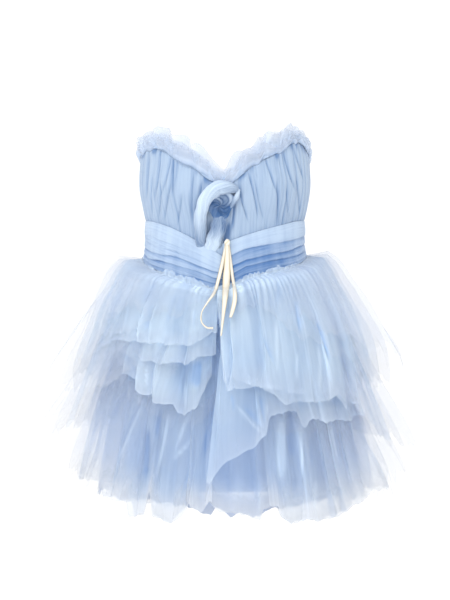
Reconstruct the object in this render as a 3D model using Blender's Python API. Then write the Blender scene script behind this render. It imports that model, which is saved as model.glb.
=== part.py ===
"""Strapless tulle mini dress, held filled out as when worn.

The front faces -Y, +X is the viewer's right in front view and +Z is up. The origin is the
middle of the waist. Angles run round the body from 0 at the centre front, through +90 degrees
at the +X side, to 180 at the centre back. Each piece of cloth is a wall laid round one general
figure and moved out from it, so that neighbouring pieces keep a small gap and never cross.
"""

import math
from collections import namedtuple

import bpy
import numpy as np

# ---------------------------------------------------------------- driving sizes, in metres
SEAM_GAP = 0.0003
LINED_CLOTH = 0.0015
TULLE = 0.0012
SATIN = 0.0010

GATHERS_AROUND = 36
GATHER_DEPTH = 0.0040
GATHER_DEPTH_AT_SASH = 0.0010
GATHER_LEAN = math.radians(7)
BODICE_UNDER_SASH = 0.012

CUP_DEPTH = 0.009
CUP_ANGLE = math.radians(33)
CUP_SPREAD = math.radians(17)
CUP_HEIGHT = 0.082
CUP_RISE = 0.042

FRILL_WAVES_AROUND = 40
FRILL_WAVE_DEPTH = 0.0056
FRILL_LEAN = 0.0060
FRILL_SIDE_LEAN = 0.0030

SASH_OUT = 0.0040
SASH_PLEATS = 4
SASH_PLEAT_DEPTH = 0.0042
SASH_MEETS_AT = -1.6  # degrees

TIER_TUCK = 0.008
TIER_BELOW_SASH = 0.0009
FRONT_FLARE_SHARE = 0.80
SLIP_HEM = -0.442
SLIP_TAPER = 0.022  # how far inside the figure its hem lies
SLIP_TAPER_STARTS = -0.260

# ---------------------------------------------------------------- tables
Level = namedtuple("Level", "height half_width front_depth back_depth")
FIGURE = [
    Level(-0.475, 0.200, 0.162, 0.166),
    Level(-0.300, 0.182, 0.140, 0.146),
    Level(-0.150, 0.164, 0.117, 0.124),
    Level(-0.090, 0.152, 0.108, 0.111),
    Level(-0.040, 0.142, 0.101, 0.100),
    Level(-0.005, 0.138, 0.099, 0.095),
    Level(0.025, 0.140, 0.104, 0.094),
    Level(0.055, 0.146, 0.113, 0.096),
    Level(0.086, 0.151, 0.119, 0.097),
    Level(0.130, 0.150, 0.112, 0.093),
    Level(0.175, 0.147, 0.099, 0.089),
]

Edge = namedtuple("Edge", "degrees height")
NECKLINE = [
    Edge(-180, 0.086),
    Edge(-145, 0.094),
    Edge(-115, 0.118),
    Edge(-90, 0.145),
    Edge(-75, 0.152),
    Edge(-58, 0.158),
    Edge(-44, 0.150),
    Edge(-36, 0.141),
    Edge(-25, 0.125),
    Edge(-18, 0.114),
    Edge(-12, 0.100),
    Edge(-5, 0.092),
    Edge(5, 0.093),
    Edge(10, 0.104),
    Edge(14, 0.114),
    Edge(19, 0.123),
    Edge(25, 0.133),
    Edge(34, 0.144),
    Edge(42, 0.154),
    Edge(50, 0.164),
    Edge(60, 0.168),
    Edge(75, 0.156),
    Edge(90, 0.144),
    Edge(115, 0.118),
    Edge(145, 0.094),
    Edge(180, 0.086),
]
FRILL_HEIGHT = [
    Edge(-180, 0.024),
    Edge(-120, 0.026),
    Edge(-90, 0.028),
    Edge(-58, 0.031),
    Edge(-44, 0.040),
    Edge(-25, 0.045),
    Edge(-14, 0.046),
    Edge(0, 0.031),
    Edge(9, 0.044),
    Edge(25, 0.039),
    Edge(42, 0.038),
    Edge(58, 0.028),
    Edge(90, 0.027),
    Edge(120, 0.026),
    Edge(180, 0.024),
]
SASH_TOP_LEFT = [
    Edge(-90, 0.030),
    Edge(-60, 0.026),
    Edge(-40, 0.014),
    Edge(-25, -0.002),
    Edge(-12, -0.020),
    Edge(0, -0.038),
]
SASH_TOP_RIGHT = [
    Edge(-2, -0.014),
    Edge(12, -0.001),
    Edge(25, 0.009),
    Edge(40, 0.018),
    Edge(60, 0.027),
    Edge(90, 0.030),
]
SASH_BOTTOM = [
    Edge(-180, -0.030),
    Edge(-90, -0.036),
    Edge(-60, -0.055),
    Edge(-40, -0.066),
    Edge(-22, -0.080),
    Edge(-8, -0.091),
    Edge(2, -0.091),
    Edge(14, -0.072),
    Edge(25, -0.065),
    Edge(42, -0.056),
    Edge(62, -0.047),
    Edge(90, -0.030),
    Edge(180, -0.030),
]
SASH_TOP_BACK = 0.030

TOP_TIER_HEM = [
    Edge(-180, -0.240),
    Edge(-130, -0.246),
    Edge(-90, -0.236),
    Edge(-60, -0.214),
    Edge(-40, -0.203),
    Edge(-25, -0.214),
    Edge(-12, -0.211),
    Edge(-4, -0.186),
    Edge(-3, -0.258),
    Edge(8, -0.259),
    Edge(16, -0.262),
    Edge(24, -0.277),
    Edge(45, -0.288),
    Edge(60, -0.286),
    Edge(90, -0.262),
    Edge(130, -0.246),
    Edge(180, -0.240),
]
MIDDLE_TIER_HEM = [
    Edge(-180, -0.345),
    Edge(-90, -0.350),
    Edge(-65, -0.318),
    Edge(-45, -0.276),
    Edge(-33, -0.262),
    Edge(-22, -0.287),
    Edge(-13, -0.302),
    Edge(-8, -0.276),
    Edge(-6, -0.262),
    Edge(-4, -0.412),
    Edge(2, -0.392),
    Edge(8, -0.355),
    Edge(14, -0.334),
    Edge(22, -0.319),
    Edge(45, -0.318),
    Edge(65, -0.336),
    Edge(90, -0.368),
    Edge(130, -0.352),
    Edge(180, -0.345),
]
BOTTOM_TIER_HEM = [
    Edge(-180, -0.462),
    Edge(-90, -0.446),
    Edge(-50, -0.468),
    Edge(-20, -0.476),
    Edge(0, -0.470),
    Edge(30, -0.477),
    Edge(60, -0.468),
    Edge(90, -0.448),
    Edge(180, -0.462),
]

Flare = namedtuple("Flare", "drop out wave")  # below the top seam: how far out, fold depth
TOP_FLARE = [
    Flare(0.000, 0.0027, 0.0000),
    Flare(0.003, 0.0180, 0.0008),
    Flare(0.010, 0.0440, 0.0020),
    Flare(0.022, 0.0580, 0.0035),
    Flare(0.046, 0.0690, 0.0055),
    Flare(0.090, 0.0870, 0.0080),
    Flare(0.146, 0.1040, 0.0100),
    Flare(0.204, 0.1160, 0.0120),
    Flare(0.260, 0.1250, 0.0130),
]
TOP_FULLNESS = 0.022  # how much further the top tier billows at its fullest place on the +X side
MIDDLE_FLARE = [
    Flare(0.000, 0.0027, 0.0000),
    Flare(0.010, 0.0140, 0.0015),
    Flare(0.030, 0.0310, 0.0035),
    Flare(0.060, 0.0480, 0.0055),
    Flare(0.100, 0.0660, 0.0075),
    Flare(0.150, 0.0850, 0.0090),
    Flare(0.210, 0.1040, 0.0110),
    Flare(0.270, 0.1200, 0.0120),
    Flare(0.320, 0.1300, 0.0130),
]
BOTTOM_FLARE = [
    Flare(0.000, 0.0027, 0.0000),
    Flare(0.010, 0.0120, 0.0015),
    Flare(0.030, 0.0250, 0.0035),
    Flare(0.060, 0.0370, 0.0060),
    Flare(0.120, 0.0530, 0.0085),
    Flare(0.180, 0.0640, 0.0105),
    Flare(0.290, 0.0780, 0.0125),
]

Tier = namedtuple("Tier", "top_below_sash opening hem flare folds rows fullness")
TOP_ROWS = (0, 0.055, 0.20, 0.45, 0.72, 1)
MIDDLE_ROWS = (0, 0.10, 0.28, 0.55, 0.78, 1)
BOTTOM_ROWS = (0, 0.13, 0.38, 0.68, 1)
TIERS = {  # opening: degrees between which the tier is open near the centre front
    "top_tier": Tier(TIER_BELOW_SASH, (-4.0, -2.6), TOP_TIER_HEM, TOP_FLARE, 20, TOP_ROWS, TOP_FULLNESS),
    "middle_tier": Tier(0.055, (-6.0, -4.0), MIDDLE_TIER_HEM, MIDDLE_FLARE, 18, MIDDLE_ROWS, 0),
    "bottom_tier": Tier(0.150, (0.0, 0.0), BOTTOM_TIER_HEM, BOTTOM_FLARE, 24, BOTTOM_ROWS, 0),
}
COLUMNS_PER_FOLD = 4.6

Station = namedtuple("Station", "across height half_across half_thick")
TWIST_ROLL = [
    Station(-0.0400, -0.0100, 0.0090, 0.0050),
    Station(-0.0415, 0.0060, 0.0095, 0.0065),
    Station(-0.0420, 0.0260, 0.0095, 0.0075),
    Station(-0.0395, 0.0480, 0.0095, 0.0080),
    Station(-0.0290, 0.0680, 0.0105, 0.0085),
    Station(-0.0110, 0.0790, 0.0115, 0.0090),
    Station(0.0080, 0.0790, 0.0110, 0.0085),
    Station(0.0175, 0.0660, 0.0085, 0.0070),
    Station(0.0160, 0.0490, 0.0060, 0.0055),
    Station(0.0070, 0.0350, 0.0065, 0.0050),
    Station(-0.0050, 0.0230, 0.0085, 0.0050),
    Station(-0.0140, 0.0080, 0.0100, 0.0050),
    Station(-0.0195, -0.0070, 0.0100, 0.0046),
    Station(-0.0225, -0.0200, 0.0090, 0.0038),
]

Ribbon = namedtuple("Ribbon", "across height stand_off")  # stand_off: out from what it lies on
RIBBON_WIDTH = 0.0065
RIBBON_LEFT = [
    Ribbon(-0.0002, -0.0222, 0.0016),
    Ribbon(-0.0050, -0.050, 0.0018),
    Ribbon(-0.0110, -0.075, 0.0025),
    Ribbon(-0.0180, -0.098, 0.0042),
    Ribbon(-0.0300, -0.116, 0.0030),
    Ribbon(-0.0395, -0.132, 0.0030),
    Ribbon(-0.0400, -0.148, 0.0030),
    Ribbon(-0.0310, -0.158, 0.0035),
    Ribbon(-0.0200, -0.159, 0.0040),
]
RIBBON_MIDDLE = [
    Ribbon(0.0035, -0.0230, 0.0032),
    Ribbon(0.0035, -0.052, 0.0032),
    Ribbon(0.0025, -0.078, 0.0030),
    Ribbon(0.0005, -0.103, 0.0035),
    Ribbon(-0.0020, -0.127, 0.0035),
    Ribbon(-0.0045, -0.150, 0.0035),
    Ribbon(-0.0070, -0.172, 0.0035),
]
RIBBON_RIGHT = [
    Ribbon(0.0072, -0.0222, 0.0016),
    Ribbon(0.0105, -0.052, 0.0018),
    Ribbon(0.0135, -0.074, 0.0022),
    Ribbon(0.0165, -0.093, 0.0025),
    Ribbon(0.0165, -0.112, 0.0028),
    Ribbon(0.0125, -0.130, 0.0030),
    Ribbon(0.0090, -0.141, 0.0034),
]

KNOT_CENTRE_HEIGHT = -0.0135
KNOT_ACROSS = 0.0035
KNOT_HALF_WIDTH = 0.0062
KNOT_HALF_HEIGHT = 0.0090
KNOT_HALF_DEPTH = 0.0050
KNOT_INTO_PLEAT = 0.0012  # how far it settles between the sash's upper edge and its first pleat

# ---------------------------------------------------------------- curves and figure


def curve(table, column, at):
    """A column of a table, read on a smooth curve through its rows and held level past its ends."""
    keys = np.array([row[0] for row in table], float)
    values = np.array([getattr(row, column) for row in table], float)
    slopes = np.gradient(values, keys)
    at = np.clip(at, keys[0], keys[-1])
    i = np.clip(np.searchsorted(keys, at) - 1, 0, len(keys) - 2)
    step = keys[i + 1] - keys[i]
    t = (at - keys[i]) / step
    start = (2 * t**3 - 3 * t**2 + 1) * values[i] + (t**3 - 2 * t**2 + t) * step * slopes[i]
    end = (3 * t**2 - 2 * t**3) * values[i + 1] + (t**3 - t**2) * step * slopes[i + 1]
    return start + end


def wrapped_degrees(angle):
    """An angle in degrees, from -180 to 180, with both sides of the centre back at +180."""
    turned = (np.degrees(angle) + 180.0) % 360.0 - 180.0
    return np.where(np.isclose(turned, -180.0), 180.0, turned)


def edge(table, angle):
    """Height of an edge, read in straight lines between its rows."""
    rows = [row.degrees for row in table]
    return np.interp(wrapped_degrees(angle), rows, [row.height for row in table])


def smooth_step(x):
    """0 below 0, 1 above 1 and an even S between."""
    x = np.clip(x, 0.0, 1.0)
    return x * x * (3.0 - 2.0 * x)


def bell(x):
    """1 at 0, falling off evenly on both sides."""
    return np.exp(-(x**2))


def figure(angle, height, out=0.0):
    """Points that lie `out` outside the figure, at each angle and height."""
    angle, height, out = np.broadcast_arrays(angle, height, out)
    front = curve(FIGURE, "front_depth", height)
    depth = np.where(np.cos(angle) > 0, front, curve(FIGURE, "back_depth", height))
    x = (curve(FIGURE, "half_width", height) + out) * np.sin(angle)
    return np.stack([x, -(depth + out) * np.cos(angle), height], axis=-1)


def front_point(across, height, out):
    """A point on the front, `out` outside the figure, at a given distance from the middle."""
    half_width = curve(FIGURE, "half_width", height) + out
    depth = curve(FIGURE, "front_depth", height) + out
    return np.stack([across, -depth * np.sqrt(1 - (across / half_width) ** 2), height], axis=-1)


def neckline(angle):
    """Height of the bodice's top edge."""
    return curve(NECKLINE, "height", wrapped_degrees(angle))


def cups(angle, height):
    """How far the two cups stand out from the figure."""
    turned = np.radians(np.abs(wrapped_degrees(angle)))
    return CUP_DEPTH * bell((turned - CUP_ANGLE) / CUP_SPREAD) * bell((height - CUP_HEIGHT) / CUP_RISE)


def sash_top(angle, degrees_in=0.0):
    """Height of the sash's upper edge, looked up a little way inside the band it belongs to."""
    turned = wrapped_degrees(angle) + degrees_in
    left = curve(SASH_TOP_LEFT, "height", turned)
    right = curve(SASH_TOP_RIGHT, "height", turned)
    front = np.where(turned < SASH_MEETS_AT, left, right)
    return np.where(np.abs(turned) <= 90.0, front, SASH_TOP_BACK)


def waist_seam(angle):
    """Height at which the bodice meets the slip, hidden under the sash."""
    turned = -np.abs(wrapped_degrees(angle))
    return curve(SASH_TOP_LEFT, "height", turned) - BODICE_UNDER_SASH


# ---------------------------------------------------------------- meshes


def material(name, colour, roughness):
    """A plain Principled material."""
    made = bpy.data.materials.new(name)
    made.use_nodes = True
    shader = made.node_tree.nodes["Principled BSDF"]
    shader.inputs["Base Color"].default_value = (*colour, 1.0)
    shader.inputs["Roughness"].default_value = roughness
    made.diffuse_color = (*colour, 1.0)
    return made


def add_object(name, vertices, faces, finish):
    """Adds a smooth-shaded mesh object."""
    mesh = bpy.data.meshes.new(name)
    mesh.from_pydata([tuple(v) for v in vertices], [], faces)
    mesh.shade_smooth()
    mesh.set_sharp_from_angle(angle=math.radians(50))
    mesh.materials.append(finish)
    made = bpy.data.objects.new(name, mesh)
    bpy.context.scene.collection.objects.link(made)
    return made


def unit(vectors):
    """Vectors scaled to length 1."""
    return vectors / np.linalg.norm(vectors, axis=-1, keepdims=True)


def wall(name, inner, outer, finish):
    """A closed wall between two grids of one shape, whose rows run down and columns with the angle."""
    rows, columns = inner.shape[:2]
    count = rows * columns
    faces = []
    for r in range(rows - 1):
        for c in range(columns - 1):
            a = r * columns + c
            face = (a, a + columns, a + columns + 1, a + 1)
            faces.append(face)
            faces.append(tuple(count + v for v in reversed(face)))
    top = [c for c in range(columns - 1)]
    right = [r * columns + columns - 1 for r in range(rows - 1)]
    bottom = [(rows - 1) * columns + c for c in range(columns - 1, 0, -1)]
    left = [r * columns for r in range(rows - 1, 0, -1)]
    rim = top + right + bottom + left
    for a, b in zip(rim, rim[1:] + rim[:1]):
        faces.append((a, b, b + count, a + count))
    vertices = np.concatenate([outer.reshape(-1, 3), inner.reshape(-1, 3)])
    return add_object(name, vertices, faces, finish)


def lined_wall(name, inside, outside, angles, finish):
    """A wall with its own inner and outer surface, each a function of the angles."""
    around = np.stack([np.cos(angles), np.sin(angles), 0 * angles], axis=-1)
    grids = [surface(angles[None, :]) for surface in (inside, outside)]
    for grid in grids:
        grid[:, 0] += around[0] * SEAM_GAP / 2
        grid[:, -1] -= around[-1] * SEAM_GAP / 2
    return wall(name, *grids, finish)


def sheet(name, surface, angles, thickness, finish, upright=False):
    """An even wall about a middle surface, a function of the angles.

    The normals are taken one column past each end, so that panels that meet share them. An
    upright sheet is thickened level, so that its lower edge lies flat on what carries it.
    """
    before, after = 2 * angles[0] - angles[1], 2 * angles[-1] - angles[-2]
    points = surface(np.concatenate([[before], angles, [after]])[None, :])
    along = unit(np.gradient(points, axis=1))
    normal = np.cross(np.gradient(points, axis=0), along)
    if upright:
        normal[..., 2] = 0.0
    normal, along, points = unit(normal)[:, 1:-1], along[:, 1:-1], points[:, 1:-1].copy()
    points[:, 0] += along[:, 0] * SEAM_GAP / 2
    points[:, -1] -= along[:, -1] * SEAM_GAP / 2
    half = normal * thickness / 2
    return wall(name, points - half, points + half, finish)


def spread(start, end, columns):
    """Even angles in radians between two in degrees."""
    return np.radians(np.linspace(start, end, columns + 1))


# ---------------------------------------------------------------- bodice


def gathers(angle, height):
    """Depth of the bodice's gathers, which lean out as they run down and flatten at both edges."""
    top, bottom = neckline(angle), sash_top(angle)
    down = np.clip((top - height) / (top - bottom), 0.0, 1.0)
    lean = GATHER_LEAN * np.sin(angle) * (1.0 - down)
    uneven = 0.5 * np.sin(5 * angle + 0.8) + 0.3 * np.sin(9 * angle)
    ridge = 0.5 + 0.5 * np.cos(GATHERS_AROUND * (angle + lean) + uneven)
    full = smooth_step(down / 0.12) * (1.0 - smooth_step((down - 0.85) / 0.15))
    return (GATHER_DEPTH_AT_SASH + (GATHER_DEPTH - GATHER_DEPTH_AT_SASH) * full) * ridge


def bodice_panel(name, start, end, columns, rows, finish):
    """One gathered panel of the bodice, plain inside, that ends under the sash."""
    down = np.linspace(0.0, 1.0, rows)[:, None]

    def heights(angle):
        top = neckline(angle)
        above_sash = top + (sash_top(angle) + 2 * SEAM_GAP - top) * down
        return np.concatenate([above_sash, waist_seam(angle)], axis=0)

    def inside(angle):
        height = heights(angle)
        return figure(angle, height, cups(angle, height))

    def outside(angle):
        height = heights(angle)
        return figure(angle, height, cups(angle, height) + LINED_CLOTH + gathers(angle, height))

    return lined_wall(name, inside, outside, spread(start, end, columns), finish)


def make_bodice(finish):
    """Two front panels with a cup each and two back panels."""
    bodice_panel("bodice_front_left", -90, 0, 40, 6, finish)
    bodice_panel("bodice_front_right", 0, 90, 40, 6, finish)
    bodice_panel("bodice_back_right", 90, 180, 28, 4, finish)
    bodice_panel("bodice_back_left", 180, 270, 28, 4, finish)


# ---------------------------------------------------------------- neck frill


def frill_height(angle):
    """How tall the standing frill is: tallest on both sides of the dip, low at the back."""
    return curve(FRILL_HEIGHT, "height", wrapped_degrees(angle))


def frill_surface(angle):
    """Middle surface of the frill, which stands on the bodice's top edge and leans out."""
    up = np.array([1.0, 0.6, 0.25, 0.0])[:, None]
    base = neckline(angle) + SEAM_GAP
    uneven = 0.6 * np.sin(3 * angle + 1.0) + 0.5 * np.sin(7 * angle)
    wave = np.sin(FRILL_WAVES_AROUND * angle + uneven)
    height = base + frill_height(angle) * up * (1.0 + 0.05 * wave)
    lean = (FRILL_LEAN + FRILL_SIDE_LEAN * np.abs(np.sin(angle))) * up**1.3
    return figure(angle, height, cups(angle, base) + LINED_CLOTH * 0.6 + lean + FRILL_WAVE_DEPTH * wave * up)


def make_frill(finish):
    """Four lengths of frill, one on each bodice panel."""
    for name, start, end, columns in (
        ("front_left", -90, 0, 44),
        ("front_right", 0, 90, 44),
        ("back_right", 90, 180, 36),
        ("back_left", 180, 270, 36),
    ):
        angles = spread(start, end, columns)
        sheet(f"neck_frill_{name}", frill_surface, angles, TULLE, finish, upright=True)


# ---------------------------------------------------------------- sash


def sash_band(name, start, end, columns, finish):
    """A pleated band round the waist, plain inside."""
    down = np.linspace(0.0, 1.0, 2 * SASH_PLEATS + 1)[:, None]
    pleat = SASH_PLEAT_DEPTH * (0.5 - 0.5 * np.cos(2 * math.pi * SASH_PLEATS * down))
    angles = spread(start, end, columns)
    inwards = np.sign(0.5 * (start + end) - np.degrees(angles))[None, :] * 1e-4
    top = sash_top(angles[None, :], inwards)
    height = top + (edge(SASH_BOTTOM, angles[None, :]) - top) * down

    def inside(angle):
        return figure(angle, height, SASH_OUT)

    def outside(angle):
        return figure(angle, height, SASH_OUT + TULLE + pleat)

    return lined_wall(name, inside, outside, angles, finish)


def make_sash(finish):
    """Two front bands that run down to the centre front, and the level back in two halves."""
    sash_band("sash_front_left", -90, SASH_MEETS_AT, 18, finish)
    sash_band("sash_front_right", SASH_MEETS_AT, 90, 18, finish)
    sash_band("sash_back_right", 90, 180, 14, finish)
    sash_band("sash_back_left", 180, 270, 14, finish)


# ---------------------------------------------------------------- skirt


def fullness(angle, drop):
    """Where a tier billows further out: high on the +X side and a little in front of it."""
    return bell((wrapped_degrees(angle) - 78) / 42) * bell((drop - 0.14) / 0.075)


def tier_surface(tier, tuck):
    """Middle surface of a tier: sewn on close to the slip, flared and folded below its seam."""
    share_down = np.array(tier.rows)[:, None]

    def surface(angle):
        seam = edge(SASH_BOTTOM, angle) - tier.top_below_sash
        folds = tier.folds * angle + 0.7 * np.sin(3 * angle + tier.folds) + 0.5 * np.sin(5 * angle)
        fold = np.sin(folds) + 0.22 * np.sin(2 * folds + 0.9)
        hem = edge(tier.hem, angle) + 0.004 * fold + 0.003 * np.sin(7 * angle)
        drop = (seam - hem) * share_down
        front_share = FRONT_FLARE_SHARE + (1.0 - FRONT_FLARE_SHARE) * np.sin(angle) ** 2
        seat = tier.flare[0].out
        out = seat + (curve(tier.flare, "out", drop) - seat) * front_share
        out = out + tier.fullness * fullness(angle, drop)
        below = figure(angle, seam - drop, out + curve(tier.flare, "wave", drop) * fold)
        return np.concatenate([figure(angle, seam + tuck, seat), below]) if tuck else below

    return surface


def make_tier(name, tier, finish):
    """A tier's front, in two panels that part at its opening, and its back."""
    surface = tier_surface(tier, TIER_TUCK if name == "top_tier" else 0.0)
    left_end, right_start = tier.opening
    for panel, start, end in (
        ("front_left", -90.0, left_end),
        ("front_right", right_start, 90.0),
        ("back_right", 90.0, 180.0),
        ("back_left", 180.0, 270.0),
    ):
        columns = round((end - start) / 360.0 * tier.folds * COLUMNS_PER_FOLD)
        sheet(f"{name}_{panel}", surface, spread(start, end, columns), TULLE, finish)


def slip_panel(name, start, end, finish):
    """A panel of the plain slip under the tiers, from the waist seam to its own hem."""
    down = np.array([0.0, 0.06, 0.12, 0.2, 0.35, 0.53, 1.0])[:, None]

    def surface_at(out):
        def surface(angle):
            top = waist_seam(angle) - SEAM_GAP
            height = top + (SLIP_HEM - top) * down
            taper = SLIP_TAPER * np.clip((SLIP_TAPER_STARTS - height) / (SLIP_TAPER_STARTS - SLIP_HEM), 0, 1)
            return figure(angle, height, out - taper)

        return surface

    return lined_wall(name, surface_at(0.0), surface_at(LINED_CLOTH), spread(start, end, 10), finish)


def make_skirt(tulle, satin):
    """The slip and the three tiers over it."""
    slip_panel("slip_front_left", -90, 0, satin)
    slip_panel("slip_front_right", 0, 90, satin)
    slip_panel("slip_back_right", 90, 180, satin)
    slip_panel("slip_back_left", 180, 270, satin)
    for name, tier in TIERS.items():
        make_tier(name, tier, tulle)


# ---------------------------------------------------------------- front trimming


def front_cloth(across, height):
    """How far out of the figure the outermost cloth reaches at a place on the front."""
    angle = np.arcsin(across / curve(FIGURE, "half_width", height))
    drop = np.clip(edge(SASH_BOTTOM, angle) - height, 0.0, None)
    share = FRONT_FLARE_SHARE + (1.0 - FRONT_FLARE_SHARE) * np.sin(angle) ** 2
    on_tier = curve(TOP_FLARE, "out", drop) * share + 1.25 * curve(TOP_FLARE, "wave", drop) + TULLE
    return np.maximum(SASH_OUT + TULLE + SASH_PLEAT_DEPTH, on_tier)


def sampled(stations, count):
    """A table's columns, read at even steps along its rows."""
    Row = namedtuple("Row", ("step",) + stations[0]._fields)
    table = [Row(i, *row) for i, row in enumerate(stations)]
    steps = np.linspace(0, len(stations) - 1, count)
    return stations[0]._make(curve(table, field, steps) for field in stations[0]._fields)


def make_twist(finish):
    """The rolled strip that loops up, over and back down at the centre front."""
    sides = 10
    at = sampled(TWIST_ROLL, 27)
    angle = np.arcsin(at.across / curve(FIGURE, "half_width", at.height))
    on_gathers = cups(angle, at.height) + LINED_CLOTH + GATHER_DEPTH + 2 * SEAM_GAP
    middle = front_point(at.across, at.height, on_gathers + at.half_thick)
    along = unit(np.gradient(middle, axis=0))
    forward = np.array([0.0, -1.0, 0.0])
    outward = unit(forward - along * (along @ forward)[:, None])
    side = np.cross(along, outward)
    turn = np.linspace(0, 2 * math.pi, sides, endpoint=False)
    across = side[:, None] * (at.half_across[:, None] * np.cos(turn))[..., None]
    through = outward[:, None] * (at.half_thick[:, None] * np.sin(turn))[..., None]
    last = (len(middle) - 1) * sides
    faces = [tuple(range(sides)), tuple(last + i for i in reversed(range(sides)))]
    for ring in range(0, last, sides):
        for i in range(sides):
            a, b = ring + i, ring + (i + 1) % sides
            faces.append((a, a + sides, b + sides, b))
    add_object("twist_roll", (middle[:, None] + across + through).reshape(-1, 3), faces, finish)


def make_ribbon(name, stations, count, finish):
    """A flat satin tail that lies on the sash and on the top tier."""
    at = sampled(stations, count)
    middle = front_point(at.across, at.height, front_cloth(at.across, at.height) + at.stand_off)
    along = unit(np.gradient(middle, axis=0))
    side = unit(np.cross(np.array([0.0, -1.0, 0.0]), along))
    face = np.cross(along, side)
    edges = [middle - side * RIBBON_WIDTH / 2, middle + side * RIBBON_WIDTH / 2]
    grid, half = np.stack(edges, axis=1), face[:, None] * SATIN / 2
    wall(name, grid - half, grid + half, finish)


def make_knot(finish):
    """The small tied knot that the ribbon tails leave."""
    height = np.array(KNOT_CENTRE_HEIGHT)
    out = SASH_OUT + TULLE + SASH_PLEAT_DEPTH + KNOT_HALF_DEPTH - KNOT_INTO_PLEAT
    centre = front_point(np.array(KNOT_ACROSS), height, out)
    half_sizes = np.array([KNOT_HALF_WIDTH, KNOT_HALF_DEPTH, KNOT_HALF_HEIGHT])
    bpy.ops.mesh.primitive_uv_sphere_add(segments=12, ring_count=8, radius=1.0)
    made = bpy.context.object
    made.name = made.data.name = "ribbon_knot"
    for vertex in made.data.vertices:
        vertex.co = centre + half_sizes * vertex.co
    made.data.shade_smooth()
    made.data.materials.append(finish)


def main():
    """Clears the scene and makes every piece of the dress."""
    for old in list(bpy.data.objects):
        bpy.data.objects.remove(old)
    gathered = material("gathered_tulle", (0.50, 0.66, 0.88), 0.80)
    sheer = material("sheer_tulle", (0.62, 0.76, 0.93), 0.75)
    lining = material("slip_lining", (0.40, 0.56, 0.82), 0.55)
    ribbon = material("cream_satin", (0.93, 0.86, 0.74), 0.35)
    make_bodice(gathered)
    make_frill(sheer)
    make_sash(gathered)
    make_skirt(sheer, lining)
    make_twist(gathered)
    make_knot(ribbon)
    make_ribbon("ribbon_left", RIBBON_LEFT, 24, ribbon)
    make_ribbon("ribbon_middle", RIBBON_MIDDLE, 20, ribbon)
    make_ribbon("ribbon_right", RIBBON_RIGHT, 18, ribbon)


main()
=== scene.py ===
"""Looks of a strapless tulle mini dress that is held filled out, as when it is worn.

The front faces -Y, +X is the viewer's right in front view and +Z is up. Sizes are in metres, and
tables of sizes are written in millimetres.
Angles run round the body from 0 at the centre front, through +90 degrees at the +X side, to 180
at the centre back. Every cloth is a grid of points: its rows run down and its columns run round.
"""

import logging
import math
from dataclasses import dataclass, field, replace
from enum import Enum
from typing import Any, ClassVar, Sequence

import bpy
import numpy as np
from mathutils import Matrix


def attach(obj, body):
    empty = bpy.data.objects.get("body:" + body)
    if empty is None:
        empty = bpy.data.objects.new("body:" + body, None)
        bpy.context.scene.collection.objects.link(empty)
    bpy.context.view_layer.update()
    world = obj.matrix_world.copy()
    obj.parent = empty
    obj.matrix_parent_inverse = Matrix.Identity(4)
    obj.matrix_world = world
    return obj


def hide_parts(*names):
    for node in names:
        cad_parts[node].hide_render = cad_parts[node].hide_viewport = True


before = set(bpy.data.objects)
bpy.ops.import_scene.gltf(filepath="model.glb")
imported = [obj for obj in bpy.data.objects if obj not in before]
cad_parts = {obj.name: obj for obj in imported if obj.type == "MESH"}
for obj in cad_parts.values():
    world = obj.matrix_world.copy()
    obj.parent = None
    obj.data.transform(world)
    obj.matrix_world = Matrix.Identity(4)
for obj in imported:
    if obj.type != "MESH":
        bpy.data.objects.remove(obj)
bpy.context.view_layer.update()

Array = np.ndarray
Row = tuple[float, ...]
Table = tuple[Row, ...]
Colour = tuple[float, float, float]

LOG = logging.getLogger("mini_dress")
BODY = "root"
CLOTH_UV = "Cloth"

# ---------------------------------------------------------------- sizes shared with the solids
SEAM_GAP = 0.0003
LINED_CLOTH = 0.0015
TULLE = 0.0012
SASH_OUT = 0.0040
SASH_PLEAT_DEPTH = 0.0042
SASH_MEETS_AT = -1.6
SEAM_UNDER_SASH = 0.012
GATHER_DEPTH = 0.0040
CUP_DEPTH = 0.009
CUP_DEGREES = 33
CUP_HEIGHT = 0.082
CUP_SPREAD_DEGREES = 17
CUP_SPREAD_HEIGHT = 0.042
SIDES_DRAWN_IN = 0.003
FRONT_FLARE_SHARE = 0.80
FRONT_FOLD_SHARE = 0.75
SLIP_HEM = -0.442
SLIP_TAPER = 0.022
SLIP_TAPER_STARTS = -0.260

CAMERA_AWAY = 3.0
CAMERA_HEIGHT = -0.1116
FORWARD = np.array([0.0, -1.0, 0.0])
STRIP_END = 0.99999


def mm(*rows: Row) -> Table:
    """Rows of millimetres, in metres."""
    return tuple(tuple(value / 1000 for value in row) for row in rows)


def keyed_mm(*rows: Row) -> Table:
    """Rows of millimetres behind a first column of degrees or numbers, in metres."""
    return tuple((row[0], *(value / 1000 for value in row[1:])) for row in rows)


# height, half width, depth in front, depth behind
FIGURE_LEVELS = mm(
    (-475, 200, 162, 166), (-300, 182, 140, 146), (-150, 164, 117, 124), (-90, 152, 108, 111),
    (-40, 142, 101, 100), (-5, 138, 99, 95), (25, 140, 104, 94), (55, 146, 113, 96), (86, 151, 119, 97),
    (130, 150, 112, 93), (175, 147, 99, 89),
)
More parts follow.
